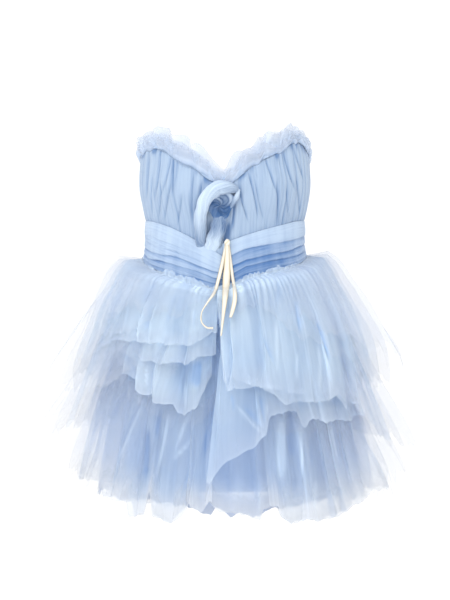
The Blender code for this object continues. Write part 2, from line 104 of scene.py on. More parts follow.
# degrees from the centre front, height
NECKLINE = keyed_mm(
    (-180, 86), (-145, 94), (-115, 118), (-90, 145), (-75, 152), (-58, 158), (-44, 150), (-36, 141),
    (-25, 125), (-18, 114), (-12, 100), (-5, 92), (5, 93), (10, 104), (14, 114), (19, 123), (25, 133),
    (34, 144), (42, 154), (50, 164), (60, 168), (75, 156), (90, 144), (115, 118), (145, 94), (180, 86),
)
FRILL_HEIGHT = keyed_mm(
    (-180, 24), (-120, 26), (-90, 28), (-58, 31), (-44, 40), (-25, 45), (-14, 46), (0, 31), (9, 44),
    (25, 39), (42, 37), (58, 27), (90, 27), (120, 26), (180, 24),
)
SASH_TOP_LEFT = keyed_mm((-90, 30), (-60, 26), (-40, 14), (-25, -2), (-12, -20), (0, -38))
SASH_TOP_RIGHT = keyed_mm((-2, -14), (12, -1), (25, 9), (40, 18), (60, 27), (90, 30))
SASH_TOP_BACK = 0.030
SASH_BOTTOM = keyed_mm(
    (-180, -30), (-90, -36), (-60, -55), (-40, -66), (-22, -80), (-8, -91), (2, -91), (14, -72),
    (25, -65), (42, -56), (62, -47), (90, -30), (180, -30),
)
# drop below the seam, how far out, fold depth
TOP_FLARE = mm(
    (0, 2.7, 0.6), (3, 18, 1), (10, 44, 2), (22, 58, 3.5), (46, 69, 5.5), (90, 87, 8), (146, 104, 10),
    (204, 116, 12), (260, 125, 13),
)
TOP_FULLNESS = 0.022
MIDDLE_FLARE = mm(
    (0, 2.7, 0.6), (10, 14, 1.5), (30, 31, 3.5), (60, 48, 5.5), (100, 66, 7.5), (150, 85, 9),
    (210, 104, 11), (270, 120, 12), (320, 130, 13),
)
BOTTOM_FLARE = mm(
    (0, 2.7, 0.6), (10, 12, 1.5), (30, 25, 3.5), (60, 37, 6), (120, 53, 8.5), (180, 64, 10.5),
    (290, 78, 12.5),
)


# ---------------------------------------------------------------- curves


def limited(x: Array) -> Array:
    """x kept from 0 to 1."""
    return np.clip(x, 0.0, 1.0)


def smooth_step(x: Array) -> Array:
    """0 below 0, 1 above 1 and 3x^2 - 2x^3 between."""
    x = limited(x)
    return x * x * (3.0 - 2.0 * x)


def bell(x: Array) -> Array:
    """e to the minus x squared."""
    return np.exp(-(x**2))


def wave_of(phase: Array) -> Array:
    """A fold as the sine of its phase, which grows by one for each fold."""
    return np.sin(math.tau * phase)


def ridge(phase: Array, power: float) -> Array:
    """A fold with a tight valley and a broad crest: |sin(pi phase)| to a power."""
    return np.abs(np.sin(math.pi * phase)) ** power


def unit(vectors: Array) -> Array:
    """Vectors divided by their own length."""
    return vectors / np.maximum(np.linalg.norm(vectors, axis=-1, keepdims=True), 1e-12)


def smooth_read(rows: Sequence[Row], column: int, at: Array) -> Array:
    """Reads a table on a smooth curve through its rows.

    Between two rows the value is the cubic that meets both with the slopes of the rows around
    them, and past the ends it stays level.

    Args:
        rows: the table, whose first column rises.
        column: the column that is read.
        at: where it is read, in the units of the first column.

    Returns:
        The column's value at each place.
    """
    keys = np.array([row[0] for row in rows], float)
    values = np.array([row[column] for row in rows], float)
    slopes = np.gradient(values, keys)
    at = np.clip(at, keys[0], keys[-1])
    i = np.clip(np.searchsorted(keys, at) - 1, 0, len(keys) - 2)
    step = keys[i + 1] - keys[i]
    t = (at - keys[i]) / step
    start = (2 * t**3 - 3 * t**2 + 1) * values[i] + (t**3 - 2 * t**2 + t) * step * slopes[i]
    end = (3 * t**2 - 2 * t**3) * values[i + 1] + (t**3 - t**2) * step * slopes[i + 1]
    return start + end


def straight_read(rows: Sequence[Row], at: Array) -> Array:
    """Reads a table's second column in straight lines between its rows."""
    return np.interp(at, [row[0] for row in rows], [row[1] for row in rows])


def wrapped_degrees(angle: Array) -> Array:
    """An angle in degrees from -180 to 180, with both sides of the centre back at +180."""
    turned = (np.degrees(angle) + 180.0) % 360.0 - 180.0
    return np.where(np.isclose(turned, -180.0), 180.0, turned)


def lattice_noise(x: Array, y: Array, across: int, down: int, seed: int) -> Array:
    """Smooth unevenness from -1 to 1 that joins up round the body.

    Random heights stand on a lattice, and between four of them the value eases along both
    directions with 3t^2 - 2t^3.

    Args:
        x: place across, 0 to 1 for once round.
        y: place down, 0 to 1.
        across: lattice cells once round.
        down: lattice cells down.
        seed: fixes the heights.

    Returns:
        The unevenness at each place.
    """
    heights = np.random.default_rng(seed).uniform(-1.0, 1.0, (down + 2, across))
    x, y = np.broadcast_arrays(np.asarray(x, float) * across, np.clip(y, 0.0, 1.0) * down)
    i, j = np.floor(x).astype(int), np.floor(y).astype(int)
    t, s = smooth_step(x - i), smooth_step(y - j)
    left, right = i % across, (i + 1) % across
    upper = heights[j, left] * (1 - t) + heights[j, right] * t
    lower = heights[j + 1, left] * (1 - t) + heights[j + 1, right] * t
    return upper * (1 - s) + lower * s


def edge_noise(share: Array, cells: int, seed: int) -> Array:
    """Unevenness along a cloth that stays the same down it."""
    return lattice_noise(share, 0 * share, cells, 1, seed)


def open_grid(columns: int, rows: int) -> tuple[Array, Array]:
    """The share of the way along and the share of the way down, for a grid that doesn't close."""
    return np.linspace(0.0, 1.0, columns)[None, :], np.linspace(0.0, 1.0, rows)[:, None]


def round_body(columns: int, rows: int) -> tuple[Array, Array, Array]:
    """The share of the way round, its angle and the share of the way down, for a closed grid."""
    share = (np.arange(columns) / columns)[None, :]
    return share, share * math.tau, np.linspace(0.0, 1.0, rows)[:, None]


@dataclass(frozen=True)
class Folds:
    """Folds of uneven width and strength that lie side by side along a cloth.

    Attributes:
        count: how many there are.
        unevenness: how much their widths vary, from 0 to 1.
        seed: fixes the widths and strengths.
    """

    count: int
    unevenness: float
    seed: int

    def phase(self, share: Array) -> Array:
        """A number that grows by one for each fold.

        The folds' edges are the running sum of random widths, and the phase runs in straight
        lines between them.

        Args:
            share: place along the cloth, 0 to 1.

        Returns:
            The phase, from 0 to the number of folds, carried on past both ends.
        """
        drawn = np.random.default_rng(self.seed).uniform(-0.85, 0.85, self.count)
        widths = 1.0 + self.unevenness * drawn
        edges = np.concatenate([[0.0], np.cumsum(widths)]) / widths.sum()
        turns = np.floor(share)
        return np.interp(share - turns, edges, np.arange(self.count + 1.0)) + turns * self.count

    def strength(self, phase: Array, low: float, high: float, salt: int = 1) -> Array:
        """A random number for each fold, which eases into the next fold's.

        Args:
            phase: the folds' phase.
            low: the least number.
            high: the greatest number.
            salt: tells apart several such numbers of the same folds.

        Returns:
            The number at each place.
        """
        drawn = np.random.default_rng(self.seed * 97 + salt).uniform(low, high, self.count)
        i = np.floor(phase - 0.5).astype(int)
        t = smooth_step(phase - 0.5 - i)
        return drawn[i % self.count] * (1 - t) + drawn[(i + 1) % self.count] * t


# ---------------------------------------------------------------- the figure that the cloth lies round


class Figure:
    """The general figure that every cloth is laid round, and the dress's seam lines on it."""

    def half_width(self, height: Array) -> Array:
        """Half the figure's width at a height."""
        return smooth_read(FIGURE_LEVELS, 1, height)

    def front_depth(self, height: Array) -> Array:
        """The figure's depth in front of the middle at a height."""
        return smooth_read(FIGURE_LEVELS, 2, height)

    def place(self, angle: Array, height: Array, out: Array | float) -> Array:
        """Points outside the figure.

        At each level the figure is a half ellipse in front and another behind: x is the half
        width times the sine of the angle, and y is minus the depth times its cosine, with `out`
        added to both half axes.

        Args:
            angle: radians round the body.
            height: height of each point.
            out: how far outside the figure each point lies.

        Returns:
            The points, in an array one axis larger.
        """
        angle, height, out = np.broadcast_arrays(angle, height, out)
        behind = smooth_read(FIGURE_LEVELS, 3, height)
        depth = np.where(np.cos(angle) > 0, self.front_depth(height), behind)
        x = (self.half_width(height) + out) * np.sin(angle)
        return np.stack([x, -(depth + out) * np.cos(angle), height], axis=-1)

    def on_front(self, across: Array, height: Array, out: Array | float) -> Array:
        """Points on the front half, given by how far to the side they lie."""
        half_width = self.half_width(height) + out
        depth = self.front_depth(height) + out
        y = -depth * np.sqrt(np.maximum(1 - (across / half_width) ** 2, 0.0))
        return np.stack(np.broadcast_arrays(across, y, height), axis=-1)

    def neckline(self, angle: Array) -> Array:
        """Height of the bodice's top edge."""
        return smooth_read(NECKLINE, 1, wrapped_degrees(angle))

    def cups(self, angle: Array, height: Array) -> Array:
        """How far the two soft cups stand out: a bell across times a bell up and down."""
        turned = np.radians(np.abs(wrapped_degrees(angle)))
        across = bell((turned - math.radians(CUP_DEGREES)) / math.radians(CUP_SPREAD_DEGREES))
        return CUP_DEPTH * across * bell((height - CUP_HEIGHT) / CUP_SPREAD_HEIGHT)

    def drawn_in(self, angle: Array) -> Array:
        """How much closer the cloths above the waist lie at the sides, by the sine squared."""
        return SIDES_DRAWN_IN * np.sin(angle) ** 2

    def sash_top(self, angle: Array) -> Array:
        """Height of the sash's upper edge, from the left band left of where the bands meet."""
        turned = wrapped_degrees(angle)
        left = smooth_read(SASH_TOP_LEFT, 1, turned)
        right = smooth_read(SASH_TOP_RIGHT, 1, turned)
        front = np.where(turned < SASH_MEETS_AT, left, right)
        return np.where(np.abs(turned) <= 90.0, front, SASH_TOP_BACK)

    def waist_seam(self, angle: Array) -> Array:
        """Height at which the bodice meets the slip, under the sash."""
        return smooth_read(SASH_TOP_LEFT, 1, -np.abs(wrapped_degrees(angle))) - SEAM_UNDER_SASH

    def sash_bottom(self, angle: Array) -> Array:
        """Height of the sash's lower edge, where the top tier is sewn on."""
        return straight_read(SASH_BOTTOM, wrapped_degrees(angle))

    def turned(self, across: Array, height: Array) -> Array:
        """The angle of a place on the front, given by how far to the side it lies."""
        return np.arcsin(np.clip(across / self.half_width(height), -1, 1))

    def flare_share(self, angle: Array) -> Array:
        """The share of its flare that a tier takes: less at the front than at the sides."""
        return FRONT_FLARE_SHARE + (1.0 - FRONT_FLARE_SHARE) * np.sin(angle) ** 2

    def front_cloth(self, across: Array, height: Array) -> Array:
        """How far out the outermost cloth of the front reaches, sash or top tier."""
        angle = self.turned(across, height)
        drop = np.clip(self.sash_bottom(angle) - height, 0.0, None)
        flare = smooth_read(TOP_FLARE, 1, drop) * self.flare_share(angle)
        on_tier = flare + FRONT_FOLD_SHARE * smooth_read(TOP_FLARE, 2, drop) + TULLE
        return np.maximum(SASH_OUT + TULLE + SASH_PLEAT_DEPTH, on_tier)


FIGURE = Figure()


@dataclass(frozen=True)
class Crease:
    """One fold line of the front, placed on the plane through the middle of the dress.

    Attributes:
        across: how far to the side it begins.
        height: the height where it begins.
        end_across: how far to the side it ends.
        end_height: the height where it ends.
        width: how wide it is.
        depth: how far the cloth sinks there; it rises as a thin edge where this is below 0.
    """

    across: float
    height: float
    end_across: float
    end_height: float
    width: float
    depth: float

    def sunk(self, across: Array, height: Array, bow: float) -> Array:
        """How far it sinks a cloth.

        A fold is sharp on the side of the middle, as a bell of 0.45 of its width, and eases out
        on the other as a bell of 1.5 of its width; an edge is an even bell. Both ease to nothing
        over the first and last third of their length.

        Args:
            across: how far to the side each point shows.
            height: the height where each point shows.
            bow: how far the line bows in its middle, as a share of its length.

        Returns:
            The depth at each point, below 0 where an edge stands up.
        """
        run_across, run_down = self.end_across - self.across, self.end_height - self.height
        length = math.hypot(run_across, run_down)
        from_top, below = across - self.across, height - self.height
        along = (from_top * run_across + below * run_down) / length**2
        aside = (from_top * run_down - below * run_across) / length
        bowed = 0.035 * length * bow * np.sin(math.pi * limited(along))
        aside = (aside + bowed) * (1.0 if self.across > 0 else -1.0)
        wide = np.where(aside > 0, 0.45, 1.5) if self.depth > 0 else 1.0
        eased = smooth_step(along / 0.33) * smooth_step((1.0 - along) / 0.33)
        return self.depth * bell(aside / (self.width * wide)) * eased


def crease_table(*rows: Row) -> tuple[Crease, ...]:
    """Fold lines from rows of across, height, end across, end height, width and depth in mm."""
    return tuple(Crease(*row) for row in mm(*rows))


def creased(points: Array, creases: Sequence[Crease]) -> Array:
    """How far fold lines sink a cloth.

    A point is carried along its line of sight to the plane through the middle, by the factor
    away / (away + y). Each fold line bows a little, one more than the next.

    Args:
        points: the cloth's grid.
        creases: the fold lines.

    Returns:
        The depth at each point, below 0 where an edge stands up.
    """
    nearer = CAMERA_AWAY / (CAMERA_AWAY + points[..., 1])
    across = points[..., 0] * nearer
    height = CAMERA_HEIGHT + (points[..., 2] - CAMERA_HEIGHT) * nearer
    sunk = np.zeros(across.shape)
    for number, crease in enumerate(creases):
        sunk = sunk + crease.sunk(across, height, math.sin(2.4 * number))
    return sunk * smooth_step(-points[..., 1] / 0.03)


# ---------------------------------------------------------------- shader sums


class Value:
    """A shader socket that takes part in Python sums, where each sign adds one Math node."""

    def __init__(self, shader: "Shader", socket: bpy.types.NodeSocket) -> None:
        """Keeps the shader and the output socket."""
        self.shader = shader
        self.socket = socket

    def math(self, operation: str, *terms: "Value | float") -> "Value":
        """A Math node on these terms."""
        made = self.shader.node("ShaderNodeMath", {"operation": operation}, dict(enumerate(terms)))
        return Value(self.shader, made.outputs[0])

    def __add__(self, other: "Value | float") -> "Value":
        """Sum."""
        return self.math("ADD", self, other)

    def __radd__(self, other: float) -> "Value":
        """Sum, with the number first."""
        return self.math("ADD", other, self)

    def __sub__(self, other: "Value | float") -> "Value":
        """Difference."""
        return self.math("SUBTRACT", self, other)

    def __rsub__(self, other: float) -> "Value":
        """Difference, with the number first."""
        return self.math("SUBTRACT", other, self)

    def __mul__(self, other: "Value | float") -> "Value":
        """Product."""
        return self.math("MULTIPLY", self, other)

    def __rmul__(self, other: float) -> "Value":
        """Product, with the number first."""
        return self.math("MULTIPLY", other, self)

    def sine(self) -> "Value":
        """Sine of the value in radians."""
        return self.math("SINE", self)

    def absolute(self) -> "Value":
        """The value without its sign."""
        return self.math("ABSOLUTE", self)

    def least(self, other: "Value | float") -> "Value":
        """The lesser of two values."""
        return self.math("MINIMUM", self, other)


class Shader:
    """A material's node tree, with its Principled shader ready."""

    def __init__(self, name: str) -> None:
        """Makes the material and clears its tree but for the two usual nodes."""
        self.material = bpy.data.materials.new(name)
        self.material.use_nodes = True
        self.tree = self.material.node_tree
        self.tree.nodes.clear()
        self.principled = self.node("ShaderNodeBsdfPrincipled")
        output = self.node("ShaderNodeOutputMaterial")
        self.tree.links.new(self.principled.outputs[0], output.inputs["Surface"])

    def node(
        self, kind: str, settings: dict[str, Any] | None = None, inputs: dict[Any, Any] | None = None
    ) -> bpy.types.Node:
        """Adds a node.

        Args:
            kind: the node's type.
            settings: its settings, set first; "stops" holds a colour ramp's places and colours.
            inputs: a value or a link for each socket, by name or number.

        Returns:
            The node.
        """
        made = self.tree.nodes.new(kind)
        for key, value in (settings or {}).items():
            if key == "stops":
                ramp = made.color_ramp
                for i, (place, colour) in enumerate(value):
                    stop = ramp.elements[i] if i < len(ramp.elements) else ramp.elements.new(place)
                    stop.position, stop.color = place, (*colour, 1.0)
            else:
                setattr(made, key, value)
        for key, value in (inputs or {}).items():
            self.feed(made, key, value)
        return made

    def feed(self, node: bpy.types.Node, key: Any, value: Any) -> None:
        """Links a value to a socket, or sets the socket to a number or colour."""
        if isinstance(value, Value):
            self.tree.links.new(value.socket, node.inputs[key])
        elif isinstance(value, bpy.types.NodeSocket):
            self.tree.links.new(value, node.inputs[key])
        else:
            node.inputs[key].default_value = value

    def dress(self, **inputs: Any) -> None:
        """Sets or links sockets of the Principled shader, with underscores for spaces."""
        for key, value in inputs.items():
            self.feed(self.principled, key.replace("_", " "), value)

    def attribute(self, name: str) -> Value:
        """A number that the mesh carries at each point."""
        made = self.node("ShaderNodeAttribute", {"attribute_name": name})
        return Value(self, made.outputs["Fac"])

    def cloth_place(self) -> tuple[Value, Value]:
        """The place on the cloth in metres, along it and down it."""
        place = self.node("ShaderNodeUVMap", {"uv_map": CLOTH_UV})
        split = self.node("ShaderNodeSeparateXYZ", inputs={0: place.outputs[0]})
        return Value(self, split.outputs[0]), Value(self, split.outputs[1])

    def joined(self, x: Value, y: Value, z: Value | float = 0.0) -> bpy.types.NodeSocket:
        """A vector from three values."""
        return self.node("ShaderNodeCombineXYZ", inputs={0: x, 1: y, 2: z}).outputs[0]

    def noise(self, vector: bpy.types.NodeSocket, scale: float, detail: float) -> Value:
        """Noise from 0 to 1 at a vector."""
        inputs = {"Vector": vector, "Scale": scale, "Detail": detail}
        return Value(self, self.node("ShaderNodeTexNoise", inputs=inputs).outputs["Fac"])

    def cloth_noise(
        self, along: Value, down: Value, cells: tuple[float, float], detail: float, layer: float = 0.0
    ) -> Value:
        """Noise from 0 to 1 with its own number of cells a metre along the cloth and down it."""
        return self.noise(self.joined(along * cells[0], down * cells[1], layer), 1.0, detail)

    def net_threads(self, along: Value, down: Value, pitch: float) -> Value:
        """The threads of a net, 1 on a thread and 0 in the middle of a cell.

        Two sets of slanting threads make it: a thread lies where the lesser of
        |sin(pi (u + v) / pitch)| and |sin(pi (u - v) / pitch)| is small.

        Args:
            along: the place along the cloth, u.
            down: the place down the cloth, v.
            pitch: size of a cell.

        Returns:
            The threads.
        """
        step = math.pi / pitch
        first = ((along + down) * step).sine().absolute()
        second = ((along - down) * step).sine().absolute()
        return 1.0 - first.least(second)

    def blend(self, factor: Value, first: Any, second: Any) -> bpy.types.NodeSocket:
        """A colour that runs from the first to the second with the factor."""
        inputs = {0: factor, 6: self.colour(first), 7: self.colour(second)}
        return self.node("ShaderNodeMix", {"data_type": "RGBA", "clamp_factor": True}, inputs).outputs[2]

    @staticmethod
    def colour(value: Any) -> Any:
        """A plain colour with its fourth number, or a link as it is."""
        return (*value, 1.0) if isinstance(value, tuple) else value

    def bump(self, height: Value, distance: float, strength: float) -> bpy.types.NodeSocket:
        """A normal tilted by a height."""
        inputs = {"Height": height, "Distance": distance, "Strength": strength}
        return self.node("ShaderNodeBump", inputs=inputs).outputs[0]


# ---------------------------------------------------------------- finishes


class Slot(Enum):
    """The record's material slots."""

    GATHERED = "gathered_tulle"
    SHEER = "sheer_tulle"
    LINING = "slip_lining"
    SATIN = "cream_satin"


@dataclass(frozen=True)
class Finish:
    """What a cloth is dressed in.

    Attributes:
        slot: the record's slot.
        name: the material's name.
    """

    slot: ClassVar[Slot]
    name: str

    def material(self) -> bpy.types.Material:
        """The material, which every kind of cloth makes in its own way."""
        raise NotImplementedError


@dataclass(frozen=True)
class SheerNet(Finish):
    """One ply of soft net that shows what lies behind it.

    Attributes:
        crest: colour on the folds' crests, a painted highlight.
        valley: colour in the folds' valleys, a painted shade.
        opacity: how much one ply covers where it lies flat to the eye.
        hem: colour that the last of the cloth fades to.
        streak: how strongly long soft creases show.
        pitch: size of the net's cells.
    """

    slot = Slot.SHEER
    crest: Colour
    valley: Colour
    opacity: float
    hem: Colour
    streak: float
    pitch: float = 0.0016

    def material(self) -> bpy.types.Material:
        """The ply's material.

        The opacity is the ply's own, times the mesh's cover, a little more on threads and on
        long soft creases, and cloth that covers more is also painted a little lighter, as a
        highlight. The colour runs from the painted shade of the valleys to the painted light of
        the crests with the mesh's crest number, and is painted darker in the low creases of the bump.

        Returns:
            The material.
        """
        shader = Shader(self.name)
        along, down = shader.cloth_place()
        thread = shader.net_threads(along, down, self.pitch)
        creases = shader.cloth_noise(along, down, (130.0, 6.0), 2.0)
        clouds = shader.cloth_noise(along, down, (13.0, 8.0), 1.0, 3.0)
        cover = shader.attribute("cover")
        # painted light and shade: lighter on the crests, darker in the valleys and in the bump's low creases,
        # lighter where the ply covers more
        crests = shader.attribute("crest") * 0.85
        tone = crests + (creases - 0.5) * self.streak * 2.0 + (clouds - 0.5) * 0.4
        cloth = shader.blend(tone + (cover - 1.0).least(1.0) * 0.12, self.valley, self.crest)
        density = cover * (0.80 + (creases - 0.5) * self.streak * 1.5 + clouds * 0.22 + thread * 0.12)
        shader.dress(
            Base_Color=shader.blend(shader.attribute("fade"), cloth, self.hem),
            Alpha=(density * self.opacity).least(0.97),
            Roughness=0.80,
            Sheen_Weight=0.20,
            Sheen_Roughness=0.45,
            Specular_IOR_Level=0.15,
            Normal=shader.bump(creases * self.streak * 2.0 + thread * 0.2, 0.0010, 0.5),
        )
        return shader.material


@dataclass(frozen=True)
class DenseNet(Finish):
    """Net gathered or pleated so closely that it covers what lies behind it.

    Attributes:
        crest: colour on the folds' crests, a painted highlight.
        valley: colour in the folds' valleys, a painted shade.
        streaks: how many fine creases lie in a metre.
        pitch: size of the net's cells.
    """

    slot = Slot.GATHERED
    crest: Colour
    valley: Colour
    streaks: float
    pitch: float = 0.0014

    def material(self) -> bpy.types.Material:
        """The gathered cloth's material.

        The colour runs from the painted shade of the valleys to the painted light of the crests
        with the mesh's own crests, is painted darker in the low fine creases of the bump along
        the folds, is moved by wide soft clouds, and the net lies over it as a low relief.

        Returns:
            The material.
        """
        shader = Shader(self.name)
        along, down = shader.cloth_place()
        thread = shader.net_threads(along, down, self.pitch)
        creases = shader.cloth_noise(along, down, (self.streaks, 9.0), 4.0)
        clouds = shader.cloth_noise(along, down, (22.0, 12.0), 2.0, 5.0)
        # painted light and shade: the crest number and the bump's fine creases set how light the colour is
        tone = shader.attribute("crest") + (creases - 0.5) * 0.7 + (clouds - 0.5) * 0.5
        shader.dress(
            Base_Color=shader.blend(tone, self.valley, self.crest),
            Roughness=0.70 + creases * 0.15,
            Sheen_Weight=0.30,
            Sheen_Roughness=0.40,
            Specular_IOR_Level=0.25,
            Normal=shader.bump(creases + thread * 0.3, 0.0010, 0.8),
        )
        return shader.material


@dataclass(frozen=True)
class SlipCloth(Finish):
    """The smooth opaque cloth of the slip.

    Attributes:
        light: colour of the cloth, and of the lit side of its drapes.
        dark: colour painted in its soft creases as their shade.
        pitch: distance between two threads of its weave.
    """

    slot = Slot.LINING
    light: Colour
    dark: Colour
    pitch: float = 0.0005

    def material(self) -> bpy.types.Material:
        """The slip's material.

        A plain weave is the product of two rows of threads, sin(2 pi u / pitch) and
        sin(2 pi v / pitch), and long soft noise, the same that makes the bump's creases, darkens
        the cloth in streaks that run down it as painted shade. The mesh's crest number paints
        it a little lighter on its drapes and dark at its hem.

        Returns:
            The material.
        """
        shader = Shader(self.name)
        along, down = shader.cloth_place()
        step = math.tau / self.pitch
        weave = (along * step).sine() * (down * step).sine()
        streaks = shader.cloth_noise(along, down, (55.0, 4.0), 3.0)
        # painted shade in the creases of the bump and at the hem, painted light on the drapes
        tone = (streaks - 0.25) * 1.5 + shader.attribute("crest") * 0.3
        shader.dress(
            Base_Color=shader.blend(tone, self.dark, self.light),
            Roughness=0.50 + streaks * 0.15,
            Sheen_Weight=0.15,
            Normal=shader.bump(streaks + weave * 0.2, 0.0010, 0.6),
        )
        return shader.material


@dataclass(frozen=True)
class Satin(Finish):
    """Narrow satin ribbon with a paler face and pale gold edges.

    Attributes:
        face: colour of the middle of the ribbon.
        edge: colour of its two edges, also painted into the knot's grooves as their shade.
        pitch: distance between two of its threads.
    """

    slot = Slot.SATIN
    face: Colour
    edge: Colour
    pitch: float = 0.00035

    def material(self) -> bpy.types.Material:
        """The ribbon's material.

        Fine threads run along it, as sin(2 pi u / pitch), long noise makes it glance unevenly,
        in its roughness and as a painted sheen in its colour, and the mesh's own edge number turns
        it to gold: at both edges of a tail, and in the knot's grooves as painted shade.

        Returns:
            The material.
        """
        shader = Shader(self.name)
        along, down = shader.cloth_place()
        threads = (along * (math.tau / self.pitch)).sine()
        glance = shader.cloth_noise(along, down, (300.0, 40.0), 2.0)
        # the edge number is the tails' own gold edges and the knot's painted shade; the glance noise paints
        # an uneven sheen
        edge = shader.attribute("edge") * 0.8 + (glance - 0.5) * 0.5
        shader.dress(
            Base_Color=shader.blend(edge, self.face, self.edge),
            Roughness=0.26 + glance * 0.16,
            Sheen_Weight=0.2,
            Coat_Weight=0.15,
            Normal=shader.bump(threads * 0.2 + glance, 0.0004, 0.7),
        )
        return shader.material


# The nets are one blue tulle. Their crest colours are painted light and their valley colours painted shade.
# The upper net is a lit copy, the lower net and the petticoat net are shaded copies, and the slip's dark
# colour is painted shade.
GATHERED_NET = DenseNet("gathered_net", (0.43, 0.55, 0.72), (0.14, 0.25, 0.47), 260.0)
PLEATED_NET = DenseNet("pleated_net", (0.52, 0.65, 0.83), (0.11, 0.23, 0.49), 60.0)
ROLLED_NET = DenseNet("rolled_net", (0.65, 0.78, 0.93), (0.05, 0.13, 0.31), 90.0)
LIT_UPPER_NET = SheerNet("lit_upper_net", (0.73, 0.87, 1.00), (0.27, 0.43, 0.71), 0.42, (0.74, 0.83, 0.95), 0.12)
SHADED_LOWER_NET = SheerNet("shaded_lower_net", (0.62, 0.76, 0.93), (0.18, 0.31, 0.57), 0.40, (0.66, 0.70, 0.77), 0.20)
VEIL_NET = SheerNet("veil_net", (0.62, 0.69, 0.82), (0.55, 0.63, 0.79), 0.145, (0.60, 0.63, 0.69), 0.05)
PETTICOAT_NET = SheerNet(
    "petticoat_net", (0.56, 0.68, 0.88), (0.20, 0.33, 0.60), 0.46, (0.47, 0.53, 0.66), 0.20
)
MIST_NET = SheerNet("mist_net", (0.70, 0.82, 0.96), (0.50, 0.65, 0.88), 0.17, (0.60, 0.64, 0.71), 0.10)
FRILL_NET = SheerNet("frill_net", (0.64, 0.75, 0.90), (0.35, 0.48, 0.69), 0.40, (0.72, 0.78, 0.90), 0.06)
SLIP_CLOTH = SlipCloth("slip_cloth", (0.46, 0.62, 0.89), (0.30, 0.45, 0.75))
CREAM_SATIN = Satin("cream_satin", (0.93, 0.88, 0.78), (0.66, 0.47, 0.16))


class Wardrobe:
    """Makes each finish's material once."""

    def __init__(self) -> None:
        """Starts with nothing made."""
        self.made: dict[str, bpy.types.Material] = {}

    def material(self, finish: Finish) -> bpy.types.Material:
        """The finish's material."""
        if finish.name not in self.made:
            self.made[finish.name] = finish.material()
        return self.made[finish.name]


# ---------------------------------------------------------------- cloth


@dataclass
class Cloth:
    """A grid of points that becomes a mesh object.

    Attributes:
        name: the piece's name.
        points: rows x columns x 3, rows down and columns round the body or along the piece.
        marks: numbers that the shader reads at each point.
        ring: whether the last column meets the first.
    """

    name: str
    points: Array
    marks: dict[str, Array] = field(default_factory=dict)
    ring: bool = False

    def row_lengths(self) -> Array:
        """Length of each row along the cloth."""
        around = np.concatenate([self.points, self.points[:, :1]], axis=1) if self.ring else self.points
        return np.linalg.norm(np.diff(around, axis=1), axis=-1).sum(axis=1)

    def column_lengths(self) -> Array:
        """Length of each column down the cloth."""
        return np.linalg.norm(np.diff(self.points, axis=0), axis=-1).sum(axis=0)

    def flat(self) -> tuple[float, float]:
        """The straight strip that it was cut to: its mean width and mean length."""
        return round(float(self.row_lengths().mean()), 3), round(float(self.column_lengths().mean()), 3)

    def faces(self) -> tuple[Array, Array]:
        """Corners of each four-sided face.

        A face takes a point, the one below, the one below and to the right and the one to the
        right, so that it looks outwards where columns run with the angle.

        Returns:
            The point number of each corner, and the row and column that its place is read from.
        """
        rows, columns = self.points.shape[:2]
        faces_along = columns if self.ring else columns - 1
        r, c = np.meshgrid(np.arange(rows - 1), np.arange(faces_along), indexing="ij")
        corner_rows = np.stack([r, r + 1, r + 1, r], axis=-1).reshape(-1, 4)
        corner_columns = np.stack([c, c, c + 1, c + 1], axis=-1).reshape(-1, 4)
        numbers = corner_rows * columns + corner_columns % columns
        return numbers, np.stack([corner_rows, corner_columns], axis=-1)

    def build(self, material: bpy.types.Material) -> bpy.types.Object:
        """Makes the mesh object, with its place on the cloth as a UV map in metres.

        The map runs along each row by the mean row length and down each column by the mean
        column length, so that a pattern keeps its size.

        Args:
            material: what the cloth is dressed in.

        Returns:
            The object, at the origin.
        """
        rows, columns = self.points.shape[:2]
        numbers, sources = self.faces()
        mesh = bpy.data.meshes.new(self.name)
        mesh.vertices.add(rows * columns)
        mesh.vertices.foreach_set("co", self.points.reshape(-1).astype(np.float32))
        mesh.loops.add(numbers.size)
        mesh.loops.foreach_set("vertex_index", numbers.reshape(-1).astype(np.int32))
        mesh.polygons.add(len(numbers))
        mesh.polygons.foreach_set("loop_start", np.arange(0, numbers.size, 4, dtype=np.int32))
        mesh.update(calc_edges=True)
        width, length = self.flat()
        across = sources[..., 1] / (columns if self.ring else columns - 1) * width
        down = sources[..., 0] / (rows - 1) * length
        layer = mesh.uv_layers.new(name=CLOTH_UV)
        layer.data.foreach_set("uv", np.stack([across, down], axis=-1).reshape(-1).astype(np.float32))
        for mark, numbers_at in self.marks.items():
            carried = mesh.attributes.new(mark, "FLOAT", "POINT")
            spread_out = np.broadcast_to(numbers_at, (rows, columns)).reshape(-1)
            carried.data.foreach_set("value", spread_out.astype(np.float32))
        mesh.shade_smooth()
        mesh.materials.append(material)
        mesh.validate()
        made = bpy.data.objects.new(self.name, mesh)
        bpy.context.scene.collection.objects.link(made)
        return made


def slope_density(points: Array, most: float) -> Array:
    """How much denser a ply looks where it turns away from straight outwards.

    The density is one over the share of the surface's normal that points straight out from the
    body's middle line, up to a limit.

    Args:
        points: the cloth's grid.
        most: the greatest density.

    Returns:
        The density at each point.
    """
    normal = unit(np.cross(np.gradient(points, axis=0), np.gradient(points, axis=1)))
    outwards = unit(points * np.array([1.0, 1.0, 0.0]))
    facing = np.abs((normal * outwards).sum(axis=-1))
    return 1.0 / np.maximum(facing, 1.0 / most)


def solidify(piece: bpy.types.Object, thickness: float) -> None:
    """Gives a sheet its thickness, inwards, with a Solidify modifier."""
    wall = piece.modifiers.new("thickness", "SOLIDIFY")
    wall.thickness = thickness
    wall.offset = -1.0
    wall.use_even_offset = False


